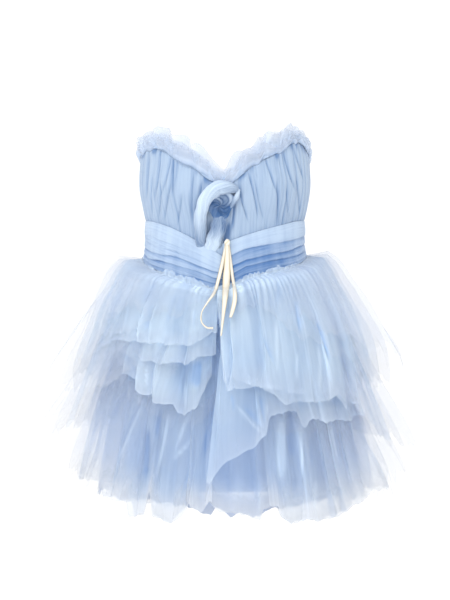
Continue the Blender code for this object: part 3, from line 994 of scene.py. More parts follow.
@dataclass
class Garment:
    """Attributes:
        wardrobe: where the materials come from.
        columns: points round the body or along a piece.
        rows: points down the body or round a piece.
    """

    wardrobe: Wardrobe
    columns: int = 260
    rows: int = 60

    def add(
        self,
        cloth: Cloth,
        finish: Finish,
        nodes: Sequence[str],
        held: str | None = None,
        rests_on: Sequence[str] = (),
        thickness: float = 0.0,
    ) -> bpy.types.Object:
        """Args:
            cloth: the grid.
            finish: what it is dressed in.
            nodes: the solids that it stands for.
            held: how the sheet is held, or None for a piece that isn't one sheet; not used.
            rests_on: what the sheet hangs from or lies on; not used.
            thickness: its thickness where it is closed, or 0 for a single surface.

        Returns:
            The piece.
        """
        piece = cloth.build(self.wardrobe.material(finish))
        if thickness:
            solidify(piece, thickness)
        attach(piece, BODY)
        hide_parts(*nodes)
        LOG.info("%s: %d points, flat %s m", cloth.name, cloth.points[..., 0].size, cloth.flat())
        return piece


def panels(stem: str) -> list[str]:
    """The four solids of a part that is cut in quarters."""
    return [f"{stem}_{side}" for side in ("front_left", "front_right", "back_right", "back_left")]


# ---------------------------------------------------------------- bodice


BODICE_CREASES = crease_table(
    (-134, 168, -142, 60, 1.6, 2.2), (-115, 166, -129, 60, 1.8, 2.6), (-129, 128, -129, 26, 1.5, 2.4),
    (-94, 160, -120, 64, 1.6, 2.2), (-91, 156, -95, 66, 1.8, 3), (-94, 112, -110, 20, 1.6, 2.4),
    (-117, 110, -121, 26, 1.4, 2.2), (-54, 134, -57, 16, 1.8, 2.4), (-39, 112, -55, 30, 2.4, 3.4),
    (-76, 90, -88, 10, 1.6, 2), (22, 112, 44, 22, 1.8, 2.8), (35, 136, 60, 26, 1.8, 2.6),
    (50, 128, 72, 20, 1.4, 1.8), (68, 158, 96, 74, 1.8, 3), (92, 112, 92, 12, 1.8, 2.8),
    (102, 172, 131, 76, 1.8, 3), (126, 120, 134, 34, 1.6, 2.6), (118, 178, 144, 96, 1.6, 2.6),
    (110, 106, 116, 30, 1.3, 1.8), (15, 78, 10, 10, 2.6, 4), (8, 34, -3, -24, 5, 5),
    (-22, 34, -27, -4, 5, 4.4),
)


@dataclass
class Bodice(Garment):
    """The gathered bodice, one cloth all round, with a soft cup each side.

    Attributes:
        main: the folds that show as dark lines of painted shade.
        fine: the creases between them.
        lean: how far the folds lean out as they run down, in radians.
        main_depth: how deep the main folds are.
        fine_depth: how deep the fine ones are, and how much deeper where the cloth is full.
        puff: how far slow noise swells the cloth.
        seed: fixes its unevenness.
    """

    columns: int = 860
    rows: int = 32
    main: Folds = Folds(54, 0.85, 11)
    fine: Folds = Folds(124, 0.75, 12)
    lean: float = math.radians(7)
    main_depth: float = 0.0030
    fine_depth: tuple[float, float] = (0.0003, 0.0008)
    puff: float = 0.0011
    seed: int = 20

    def gathers(self, share: Array, down: Array) -> tuple[Array, Array]:
        """The main folds, which the frill carries on above the neck seam.

        A fold's section is |sin(pi phase)| to the power 0.6, and it comes and goes along its
        length with a slow noise.

        Args:
            share: place round the body, 0 to 1 from the centre front.
            down: place down the bodice, 0 to 1.

        Returns:
            The leaned place round the body, and how deep each fold's valley is from 0 to 1.
        """
        angle = share * math.tau
        side = np.where(np.sin(angle) > 0, 1.0, 0.45)
        leaned = share - self.lean / math.tau * np.sin(angle) * side * (down - 0.5)
        leaned = leaned + 0.0020 * lattice_noise(share, down, 30, 4, self.seed + 1)
        phase = self.main.phase(leaned)
        fading = 0.62 + 0.38 * lattice_noise(share, down, 60, 2, self.seed + 2)
        strength = self.main.strength(phase, 0.15, 1.0) * fading
        return leaned, strength * (1.0 - ridge(phase, 0.6))

    def surface(self) -> Cloth:
        """The gathered cloth.

        The main folds are broad on their crests and tight in their valleys. Fine ones lie
        between them, and both flatten at the neck seam and at the sash. The deepest
        lines of the front are creases of their own. Shade is painted into the colour: darker in
        the folds' valleys and the creases, in short dark dashes where the neck seam puckers,
        and just above the sash.
        The cloth stands outside the figure by its cup, its lining and these folds.

        Returns:
            The cloth.
        """
        share, angle, down = round_body(self.columns, self.rows)
        top, bottom = FIGURE.neckline(angle), FIGURE.sash_top(angle) - 0.006
        height = top + (bottom - top) * down
        full = (0.3 + 0.7 * smooth_step(down / 0.06)) * (1.0 - 0.8 * smooth_step((down - 0.9) / 0.1))
        leaned, valley = self.gathers(share, down)
        phase = self.fine.phase(leaned + 0.0012 * lattice_noise(share, down, 70, 5, self.seed + 3))
        fading = 0.7 + 0.3 * lattice_noise(share, down, 80, 3, self.seed + 5)
        pucker = 1.0 + 0.5 * bell(down / 0.10) + 0.6 * bell((down - 1.0) / 0.12)
        strength, groove = self.fine.strength(phase, 0.1, 1.0) * fading, 1.0 - ridge(phase, 0.8)
        shallow, deeper = self.fine_depth
        fine_depth = (shallow + deeper * full) * strength * pucker
        sunk = self.main_depth * full * valley + fine_depth * groove + FIGURE.drawn_in(angle)
        puff = self.puff * lattice_noise(share, down, 26, 4, self.seed + 4) * full
        out = FIGURE.cups(angle, height) + LINED_CLOTH + GATHER_DEPTH * (0.25 + 0.75 * full) - sunk + puff
        lines = creased(FIGURE.place(angle, height, out), BODICE_CREASES)
        # painted shade: darker in the folds' valleys and the creases, in dashes at the neck seam and just
        # above the sash
        crest = 1.0 - 0.80 * valley - 0.34 * strength * groove * pucker
        pucker_shade = limited(edge_noise(share, 120, self.seed + 6)) * bell((down - 0.02) / 0.06)
        crest = crest - lines / 0.0042 - 1.5 * pucker_shade - 0.20 * bell((down - 1.0) / 0.10)
        points = FIGURE.place(angle, height, out - lines * full)
        return Cloth("bodice", points, {"crest": limited(crest)}, ring=True)

    def build(self) -> None:
        """Builds the bodice as a closed wall."""
        wall = LINED_CLOTH * 0.8
        self.add(self.surface(), GATHERED_NET, panels("bodice"), "gathered", ["slip"], thickness=wall)


# ---------------------------------------------------------------- neck frill


@dataclass(frozen=True)
class FrillPly:
    """One ruffled ply of the frill.

    Attributes:
        tall: its height as a share of the frill's.
        lean: how far its top leans out, in metres.
        depth: how deep its ruffles are.
        folds: the ruffles.
        over: how far its outer face runs down over the bodice.
    """

    tall: float
    lean: float
    depth: float
    folds: Folds
    over: float = 0.0


@dataclass
class NeckFrill(Garment):
    """The frill that stands on the neckline: folded net, gathered into soft uneven lumps.

    Attributes:
        plies: its plies, from the inside out.
        seat: how far outside the bodice's lining they stand.
        seed: fixes their unevenness.
    """

    columns: int = 640
    rows: int = 19
    plies: tuple[FrillPly, ...] = (
        FrillPly(1.06, 0.003, 0.0046, Folds(26, 0.8, 31)),
        FrillPly(0.88, 0.006, 0.0044, Folds(30, 0.8, 32)),
        FrillPly(0.62, 0.006, 0.0034, Folds(34, 0.8, 33), 0.012),
    )
    seat: float = 0.0022
    seed: int = 40

    def height(self, angle: Array) -> Array:
        """How tall the frill is: tallest over the cups, lower at the dip and at the back."""
        return smooth_read(FRILL_HEIGHT, 1, wrapped_degrees(angle))

    def surface(self, number: int, ply: FrillPly) -> Cloth:
        """One ply of folded net.

        The section is a soft loop: the cloth climbs its outer face, turns over at the top and
        comes down behind, so the height is the sine of a half turn and the faces part by its
        cosine. Round the body it waves by the ruffles' sine, more towards the top, and slow
        noise swells it into lumps. A ply that runs down over the bodice comes out of nothing
        there, so that the gathers of the two run into each other.

        Args:
            number: the ply's number.
            ply: its sizes.

        Returns:
            The cloth.
        """
        share, angle, _ = round_body(self.columns, self.rows)
        turn = np.linspace(0.0, math.pi, self.rows)[::-1, None]
        up, front = np.sin(turn) ** 0.8, -np.cos(turn)
        outer_face = limited(front)
        seed = self.seed + number
        phase = ply.folds.phase(share + 0.0020 * lattice_noise(share, up, 40, 2, seed))
        strength = ply.folds.strength(phase, 0.35, 1.0)
        wave = wave_of(phase)
        overlap = math.tau / ply.folds.count * 0.14 * ply.folds.strength(phase, 0.2, 1.0, 2)
        lumps = lattice_noise(share, 0.5 * up, 52, 2, seed + 10)
        tall = self.height(angle) * ply.tall * (0.94 + 0.05 * wave + 0.15 * lumps)
        lobes = 0.65 + 0.45 * edge_noise(share, 84, self.seed + 26)
        base = FIGURE.neckline(angle) - 0.001 - ply.over * lobes * outer_face
        right = limited(np.sin(angle))
        sides = (0.001 * np.abs(np.sin(angle)) - 0.005 * right**2) * up**1.3
        rise = smooth_step(up / 0.8) if ply.over else 1.0
        loft = (0.0020 + 0.0042 * up) * front * (1.0 + 0.4 * lumps) * (0.4 + 0.6 * rise)
        puff = 0.0036 * lattice_noise(share, up, 46, 3, seed + 20) * up
        lean = ply.lean * up**1.2 * rise
        out = FIGURE.cups(angle, base) + LINED_CLOTH + self.seat + lean + sides + loft + puff
        if ply.over:
            out = out - 0.0030 * (1.0 - smooth_step(up / 0.55)) * outer_face
        valley = Bodice(self.wardrobe).gathers(share, 0.0)[1] * (1.0 - smooth_step(up / 0.85))
        ruffle = ply.depth * strength * wave * (0.12 + 0.88 * up)
        out = out + ruffle - 0.003 * valley - FIGURE.drawn_in(angle)
        points = FIGURE.place(angle - overlap * wave * up, base + tall * up, out)
        fine = Folds(150, 0.8, seed + 30)
        fine_phase = fine.phase(share)
        gathers = wave_of(fine_phase) * fine.strength(fine_phase, 0.2, 1.0) * (1.0 - smooth_step(up / 0.6))
        # painted light and shade: lighter towards the top, on the ruffles' crests and on the fine gathers,
        # darker in the bodice's fold valleys and in a band low on a ply that runs over the bodice; the fade
        # also paints the top paler, where the light falls
        crest = 0.26 + 0.30 * wave * strength * up + 0.75 * up + 0.40 * gathers - 1.4 * valley
        shown = 1.0
        if ply.over:
            shown = smooth_step((up - 0.14) / 0.38) * (1.0 + 0.3 * bell((up - 0.50) / 0.16))
            crest = crest - 0.45 * bell((up - 0.36) / 0.26)
        cover = slope_density(points, 1.3) * (1.0 + 1.1 * bell((up - 0.15) / 0.45)) * (1.0 + 0.28 * lumps)
        cover = cover * (1.0 - 0.25 * smooth_step((up - 0.45) / 0.55))
        marks = {
            "crest": limited(crest),
            "cover": cover * np.where(front > 0, shown, 1.0),
            "fade": 0.80 * up**1.5,
        }
        return Cloth(f"neck_frill_ply_{number}", points, marks, ring=True)

    def build(self) -> None:
        """Builds every ply."""
        for number, ply in enumerate(self.plies, 1):
            self.add(self.surface(number, ply), FRILL_NET, panels("neck_frill"), "gathered", ["bodice"])


# ---------------------------------------------------------------- sash


# share of the way down the band at the side and at the centre front, depth, width of its shadow
LEFT_PLEATS: Table = (
    (0.17, 0.15, 0.22, 0.030), (0.33, 0.30, 0.26, 0.035), (0.47, 0.42, 0.32, 0.035),
    (0.63, 0.55, 0.95, 0.060), (0.80, 0.70, 1.00, 0.065), (0.93, 0.84, 0.70, 0.060),
)
RIGHT_PLEATS: Table = (
    (0.17, 0.13, 0.20, 0.030), (0.40, 0.30, 0.80, 0.085), (0.50, 0.41, 0.40, 0.040),
    (0.63, 0.54, 1.00, 0.090), (0.80, 0.72, 0.95, 0.070), (0.93, 0.86, 0.60, 0.050),
)


@dataclass(frozen=True)
class Band:
    """One band of the sash.

    Attributes:
        hand: which side of the front it lies on, left or right.
        start: degrees where it begins.
        end: degrees where it ends.
        pleats: its pleats.
        shade: how much painted shade darkens it where it turns down to the centre front.
        shade_at: degrees where it is darkest, and how far that spreads.
        seed: fixes its creases.
    """

    hand: str
    start: float
    end: float
    pleats: Table
    shade: float
    shade_at: tuple[float, float]
    seed: int


@dataclass
class Sash(Garment):
    """The pleated sash: two bands that run down to the centre front and a level back.

    Attributes:
        fine: the creases between the pleats.
        fine_depth: how deep they are.
        turned_in: how much closer the upper edge lies.
        bands: its two halves, which meet again at the centre back.
    """

    fine: Folds = Folds(19, 0.8, 71)
    fine_depth: float = 0.0009
    turned_in: float = 0.0034
    bands: tuple[Band, ...] = (
        Band("left", -180.0, SASH_MEETS_AT, LEFT_PLEATS, 0.05, (-10.0, 20.0), 72),
        Band("right", SASH_MEETS_AT, 180.0, RIGHT_PLEATS, 0.46, (30.0, 34.0), 73),
    )

    def surface(self, band: Band) -> Cloth:
        """A pleated band.

        Each pleat is a step: just below its edge the cloth drops by the pleat's depth, then
        comes back out as e to the minus distance over its own width. The edges run
        from their place at the side to their place at the centre with 3t^2 - 2t^3, and wander
        with slow noise. Finer creases follow them. The lowest part is the plain yoke. Shade is
        painted below each pleat's edge as its shadow, in the finer creases, on the yoke, at the
        lower edge and where a band turns down to the centre front.

        Args:
            band: which half.

        Returns:
            The cloth.
        """
        share, down = open_grid(self.columns, self.rows)
        degrees = band.start + (band.end - band.start) * share
        angle = np.radians(degrees)
        inner = np.clip(degrees, band.start + 0.01, band.end - 0.01)
        top, bottom = FIGURE.sash_top(np.radians(inner)), FIGURE.sash_bottom(angle)
        centre = 1.0 - smooth_step(np.abs(degrees - SASH_MEETS_AT) / 62.0)
        sunk = dark = np.zeros((self.rows, self.columns))
        for number, (side, middle, depth, wide) in enumerate(band.pleats):
            wander = 0.030 * edge_noise(share, 11, band.seed + number)
            strength = depth * (0.78 + 0.34 * edge_noise(share, 14, band.seed + 20 + number))
            below = down - (side + (middle - side) * centre + wander)
            back_out = np.exp(-np.maximum(below, 0.0) / wide)
            sunk = np.maximum(sunk, strength * (smooth_step(below / 0.018) * back_out))
            # painted shadow below the pleat's edge
            dark = np.maximum(dark, strength * smooth_step(below / 0.012) * back_out)
        drift = 0.045 * lattice_noise(share, down, 9, 2, band.seed + 40) * np.sin(math.pi * down)
        phase = self.fine.phase(np.clip(down + drift, 0.0, 0.9999))
        fading = 0.6 + 0.4 * lattice_noise(share, down, 20, 4, band.seed + 50)
        small, groove = self.fine.strength(phase, 0.0, 1.0) * fading, 1.0 - ridge(phase, 0.9)
        yoke = smooth_step((down - 0.74) / 0.10) * centre**0.5
        out = SASH_OUT + TULLE + SASH_PLEAT_DEPTH * (1.0 - 0.85 * sunk) * (1.0 - 0.45 * yoke)
        out = out - self.fine_depth * small * groove - self.turned_in * bell(down / 0.16)
        out = out - FIGURE.drawn_in(angle)
        darkest, spread = band.shade_at
        turned_down_shade = bell((degrees - darkest) / spread) * smooth_step((down - 0.25) / 0.25)
        # painted shade: pleat shadows, fine creases, the yoke, the turn down to the centre front and the
        # lower edge
        crest = 0.98 - 1.05 * dark - 0.40 * small * groove - 0.25 * yoke
        crest = crest - band.shade * turned_down_shade - 0.15 * bell((down - 1.0) / 0.06)
        points = FIGURE.place(angle, top + (bottom - top) * down, out)
        return Cloth(f"sash_{band.hand}", points, {"crest": limited(crest)})

    def build(self) -> None:
        """Builds both bands as closed walls."""
        for band in self.bands:
            nodes = [f"sash_{place}_{band.hand}" for place in ("front", "back")]
            self.add(self.surface(band), PLEATED_NET, nodes, "stretched", ["bodice"], thickness=TULLE)


# ---------------------------------------------------------------- skirt


@dataclass(frozen=True)
class Hem:
    """Where a ply ends.

    Attributes:
        seen: (across, height) of the hem as it shows from the front, on the plane through the
            middle of the dress.
        round_it: (degrees, height) where the front view doesn't show it.
        ragged: how far its raw edge runs up and down.
        points: raw points in it once round.
    """

    seen: Table
    round_it: Table
    ragged: float
    points: int


@dataclass(frozen=True)
class Tier:
    """What the plies of one tier share.

    Attributes:
        stem: how its solids' names begin.
        flare: how it stands out below its seam.
        creases: the fold lines that show on it from the front.
        hem_fade: how far its hems fade to their own colour.
    """

    stem: str
    flare: Table
    creases: tuple[Crease, ...]
    hem_fade: float


@dataclass(frozen=True)
class Ply:
    """One ply of a tier: a strip of net gathered onto its seam.

    Attributes:
        name: the piece's name.
        tier: its tier.
        below_sash: how far its seam lies below the sash.
        start: degrees where the strip begins, right of its opening.
        end: degrees where it ends, having run round the back.
        reach: the share of the tier's flare that it takes.
        folds: its folds.
        fold_share: the share of the flare's fold depth that it takes.
        overlap: how far its folds lap over each other, in fold widths.
        hem: where it ends.
        finish: what it is dressed in.
        seed: fixes its unevenness.
        tuck: how far it runs up under the sash.
        plain: whether it is a smooth mist, with neither fine creases nor the tier's fold lines.
        edge_lean: degrees that the edge where it begins moves by, from its seam to its hem.
        lap: how far that edge stands out over what it covers.
        side_fade: the share of its cover that it loses where it melts into the veils at the sides.
        low: the share of its cover that it gains towards its hem.
        melt: the share of its cover that it loses towards its hem.
        shelf: how much further it puffs out just below the waist.
        flick: how far its hem flicks out at the -X side and at the +X side.
        forward: the share of the flare that it takes besides at the centre front.
    """

    name: str
    tier: Tier
    below_sash: float
    start: float
    end: float
    reach: float
    folds: Folds
    fold_share: float
    overlap: float
    hem: Hem
    finish: SheerNet
    seed: int
    tuck: float = 0.0
    plain: bool = False
    edge_lean: float = 0.0
    lap: float = 0.0
    side_fade: float = 0.80
    low: float = 0.0
    melt: float = 0.0
    shelf: float = 0.0
    flick: tuple[float, float] = (0.0, 0.0)
    forward: float = 0.0


BACK_TOP = keyed_mm((88, -262), (130, -246), (180, -240), (230, -246), (272, -236))
BACK_MIDDLE = keyed_mm((88, -366), (130, -352), (180, -345), (230, -347), (272, -350))
BACK_BOTTOM = keyed_mm((88, -450), (130, -458), (180, -464), (230, -456), (272, -434))

TOP_OUTER_SEEN = mm(
    (-198, -185), (-158, -185), (-88, -194), (-61, -191), (-23, -169), (-13, -158), (-8, -275), (9, -272),
    (58, -269), (92, -279), (108, -301), (131, -295), (189, -292), (198, -286), (212, -299), (221, -308),
    (240, -296),
)
TOP_INNER_SEEN = mm(
    (-190, -204), (-166, -214), (-119, -227), (-68, -227), (-59, -220), (-29, -211), (-12, -196),
    (-6, -262), (5, -247), (29, -259), (58, -269), (100, -275), (170, -280), (235, -280),
)
MIDDLE_OUTER_SEEN = mm(
    (-205, -215), (-191, -220), (-171, -247), (-142, -283), (-126, -279), (-122, -299), (-94, -300),
    (-89, -315), (-73, -320), (-49, -301), (-29, -254), (-18, -236), (-12, -443), (0, -439), (18, -410),
    (50, -376), (74, -353), (79, -322), (108, -311), (128, -311), (139, -340), (157, -329), (221, -329),
    (248, -316),
)
MIDDLE_INNER_SEEN = mm(
    (-205, -262), (-160, -300), (-120, -322), (-90, -330), (-60, -340), (-40, -330), (-15, -300),
    (10, -330), (60, -345), (110, -352), (160, -350), (235, -345),
)
BOTTOM_SEEN = mm(
    (-236, -430), (-219, -438), (-214, -466), (-174, -472), (-171, -502), (-146, -496), (-137, -455),
    (-132, -500), (-97, -512), (-74, -486), (-67, -476), (-45, -496), (-27, -476), (-11, -494),
    (38, -497), (50, -509), (67, -509), (70, -488), (92, -484), (99, -504), (119, -513), (144, -504),
    (176, -507), (200, -496), (222, -482), (244, -452),
)


TOP_CREASES = crease_table(
    (124, -104, 136, -178, 3.4, 6), (158, -136, 191, -232, 3.6, 7), (67, -172, 92, -232, 3.4, 3.6),
    (94, -68, 93, -120, 5, 3.6), (94, -130, 94, -250, 2.6, -1.6), (131, -200, 130, -262, 2.6, -1.5),
    (166, -180, 169, -288, 2.6, -1.6), (-116, -76, -152, -128, 7, 5), (-128, -98, -146, -182, 6, 3.6),
    (-176, -86, -214, -158, 8, 3.6), (-52, -120, -54, -170, 2.4, 2.6), (-170, -96, -197, -202, 2.6, -1.6),
    (-86, -92, -104, -160, 5, 2.6),
)
MIDDLE_CREASES = crease_table(
    (-46, -212, -50, -276, 11, 8.5), (-143, -226, -142, -276, 2.6, -1.6),
    (-65, -222, -71, -314, 2.6, -1.6), (-185, -196, -156, -262, 8, 5), (-197, -206, -206, -312, 8, 4.6),
    (-203, -222, -199, -306, 2.6, -1.6), (9, -276, 14, -316, 3, 3.6), (16, -296, 70, -354, 2.6, -1.6),
    (24, -296, 76, -352, 5, 2.8), (76, -292, 72, -358, 2.6, -1.6), (62, -276, 76, -344, 4, 3.4),
)
BOTTOM_CREASES = crease_table(
    (-139, -276, -200, -418, 2.6, -1.6), (-100, -300, -127, -438, 2.6, -1.6),
    (-32, -258, -94, -398, 2.6, -1.6), (-58, -360, -96, -400, 2.6, -1.6),
    (-168, -262, -206, -332, 3.2, 6), (-146, -282, -191, -392, 3.4, 4.6),
    (-139, -330, -146, -444, 5.6, 8), (-113, -302, -120, -366, 4.2, 6.6), (-14, -252, -38, -404, 4.6, 10),
    (-21, -276, -47, -388, 2.6, -1.6), (115, -302, 119, -400, 6, 9), (131, -300, 145, -344, 3.4, 5.6),
    (153, -350, 157, -412, 3.2, 7), (103, -306, 102, -448, 7, -3), (132, -306, 137, -440, 2.6, -1.6),
    (126, -430, 123, -474, 4.4, 6), (162, -430, 162, -482, 2.6, -1.6), (195, -336, 209, -410, 5.6, 3.6),
    (189, -322, 209, -414, 2.6, -1.6), (228, -352, 238, -408, 7, 3.6),
)


TOP_VEIL_HEM = Hem(
    mm((-240, -150), (-100, -120), (-20, -110), (50, -120), (140, -150), (240, -190)),
    keyed_mm((80, -225), (100, -262), (130, -236), (180, -225), (230, -240), (262, -280), (280, -240)),
    0.016, 70,
)
TOP_MIST_HEM = Hem(
    mm((-230, -190), (-120, -150), (-40, -120), (60, -130), (150, -190), (240, -240)),
    keyed_mm((80, -250), (100, -272), (130, -250), (180, -235), (230, -250), (262, -270), (280, -220)),
    0.012, 80,
)
MIDDLE_VEIL_HEM = Hem(
    mm((-260, -290), (-170, -250), (170, -270), (260, -320)),
    keyed_mm((80, -366), (95, -388), (130, -350), (180, -340), (230, -350), (265, -350), (280, -330)),
    0.015, 76,
)
BOTTOM_VEIL_HEM = Hem(
    mm((-250, -424), (-120, -430), (120, -450), (250, -470)),
    keyed_mm((85, -452), (100, -430), (130, -450), (180, -465), (230, -445), (260, -415), (275, -418)),
    0.018, 84,
)
BOTTOM_INNER_HEM = Hem(
    mm((-210, -450), (-120, -478), (100, -488), (200, -470)),
    tuple((d, h - 0.010) for d, h in BACK_BOTTOM),
    0.006, 110,
)
PETTICOAT_HEM = Hem(
    mm(
        (-200, -464), (-100, -478), (-50, -490), (-24, -496), (-16, -484), (12, -500), (30, -492),
        (50, -506), (72, -488), (200, -464),
    ),
    keyed_mm((-180, -462), (-90, -458), (90, -458), (180, -462)),
    0.004, 110,
)
TOP_HEM = Hem(TOP_OUTER_SEEN, BACK_TOP, 0.0026, 120)
TOP_INNER_HEM = Hem(TOP_INNER_SEEN, tuple((d, h - 0.012) for d, h in BACK_TOP), 0.0026, 110)
MIDDLE_HEM = Hem(MIDDLE_OUTER_SEEN, BACK_MIDDLE, 0.0030, 120)
MIDDLE_INNER_HEM = Hem(MIDDLE_INNER_SEEN, tuple((d, h - 0.015) for d, h in BACK_MIDDLE), 0.0040, 110)
BOTTOM_HEM = Hem(BOTTOM_SEEN, BACK_BOTTOM, 0.0028, 120)

TOP = Tier("top_tier", TOP_FLARE, TOP_CREASES, 0.60)
MIDDLE = Tier("middle_tier", MIDDLE_FLARE, MIDDLE_CREASES, 0.60)
BOTTOM = Tier("bottom_tier", BOTTOM_FLARE, BOTTOM_CREASES, 0.95)

TOP_VEIL = Ply(
    "top_tier_veil", TOP, 0.0009, 6.0, 352.0, 1.00, Folds(38, 0.8, 101), 0.06, 0.05, TOP_VEIL_HEM,
    VEIL_NET, 111, tuck=0.006, plain=True, side_fade=0.0, melt=0.1, shelf=0.016, flick=(0.024, 0.015),
)
MIDDLE_VEIL = Ply(
    "middle_tier_veil", MIDDLE, 0.055, 20.0, 340.0, 1.12, Folds(40, 0.8, 104), 0.06, 0.05,
    MIDDLE_VEIL_HEM, VEIL_NET, 114, plain=True, side_fade=0.0, melt=0.1, flick=(0.017, 0.017),
)
BOTTOM_VEIL = Ply(
    "bottom_tier_veil", BOTTOM, 0.150, 14.0, 346.0, 1.50, Folds(40, 0.8, 107), 0.08, 0.06,
    BOTTOM_VEIL_HEM, VEIL_NET, 117, plain=True, side_fade=0.0, melt=0.1, flick=(0.0, 0.024),
)
PLIES: tuple[Ply, ...] = (
    TOP_VEIL,
    replace(TOP_VEIL, name="top_tier_haze", reach=0.92, seed=151, shelf=0.009, flick=(0.012, 0.006)),
    replace(TOP_VEIL, name="top_tier_mist", reach=0.82, seed=131, shelf=0.003, flick=(0.0, 0.0),
            hem=TOP_MIST_HEM, finish=MIST_NET, forward=0.12),
    Ply(
        "top_tier_outer", TOP, 0.0009, -4.4, 356.6, 0.70, Folds(26, 0.8, 102), 0.62, 0.14, TOP_HEM,
        LIT_UPPER_NET, 112, tuck=0.008, edge_lean=2.0, lap=0.0050, melt=0.30, forward=0.20,
    ),
    Ply(
        "top_tier_inner", TOP, 0.0060, -3.0, 356.0, 0.54, Folds(26, 0.8, 103), 0.62, 0.14, TOP_INNER_HEM,
        LIT_UPPER_NET, 113, edge_lean=1.0, lap=0.0040, melt=0.25, forward=0.16,
    ),
    MIDDLE_VEIL,
    replace(MIDDLE_VEIL, name="middle_tier_haze", reach=0.98, seed=152, flick=(0.008, 0.008)),
    Ply(
        "middle_tier_outer", MIDDLE, 0.055, -1.4, 354.0, 0.84, Folds(28, 0.8, 105), 0.70, 0.18, MIDDLE_HEM,
        LIT_UPPER_NET, 115, edge_lean=-5.0, lap=0.0040, melt=0.25, side_fade=0.70,
    ),
    Ply(
        "middle_tier_inner", MIDDLE, 0.062, -1.0, 357.0, 0.56, Folds(28, 0.8, 106), 0.70, 0.18,
        MIDDLE_INNER_HEM, SHADED_LOWER_NET, 116, edge_lean=-4.0, melt=0.75,
    ),
    BOTTOM_VEIL,
    replace(BOTTOM_VEIL, name="bottom_tier_haze", reach=1.20, seed=153, flick=(0.0, 0.014)),
    replace(BOTTOM_VEIL, name="bottom_tier_mist", start=-8.0, end=350.0, reach=0.90, fold_share=0.35,
            overlap=0.20, hem=BOTTOM_HEM, finish=MIST_NET, seed=132, side_fade=0.55, melt=0.0, low=1.6),
    Ply(
        "bottom_tier_outer", BOTTOM, 0.150, 16.0, 355.0, 0.92, Folds(32, 0.85, 108), 0.80, 0.20,
        BOTTOM_HEM, SHADED_LOWER_NET, 118, edge_lean=1.0, low=0.35, side_fade=0.90,
    ),
    Ply(
        "bottom_tier_inner", BOTTOM, 0.155, 22.0, 346.0, 0.66, Folds(30, 0.85, 109), 0.85, 0.22,
        BOTTOM_INNER_HEM, SHADED_LOWER_NET, 119, melt=0.20,
    ),
    Ply(
        "bottom_tier_petticoat", BOTTOM, 0.160, -176.0, 182.0, 0.34, Folds(34, 0.85, 110), 0.40, 0.14,
        PETTICOAT_HEM, PETTICOAT_NET, 120, plain=True, low=1.60,
    ),
)


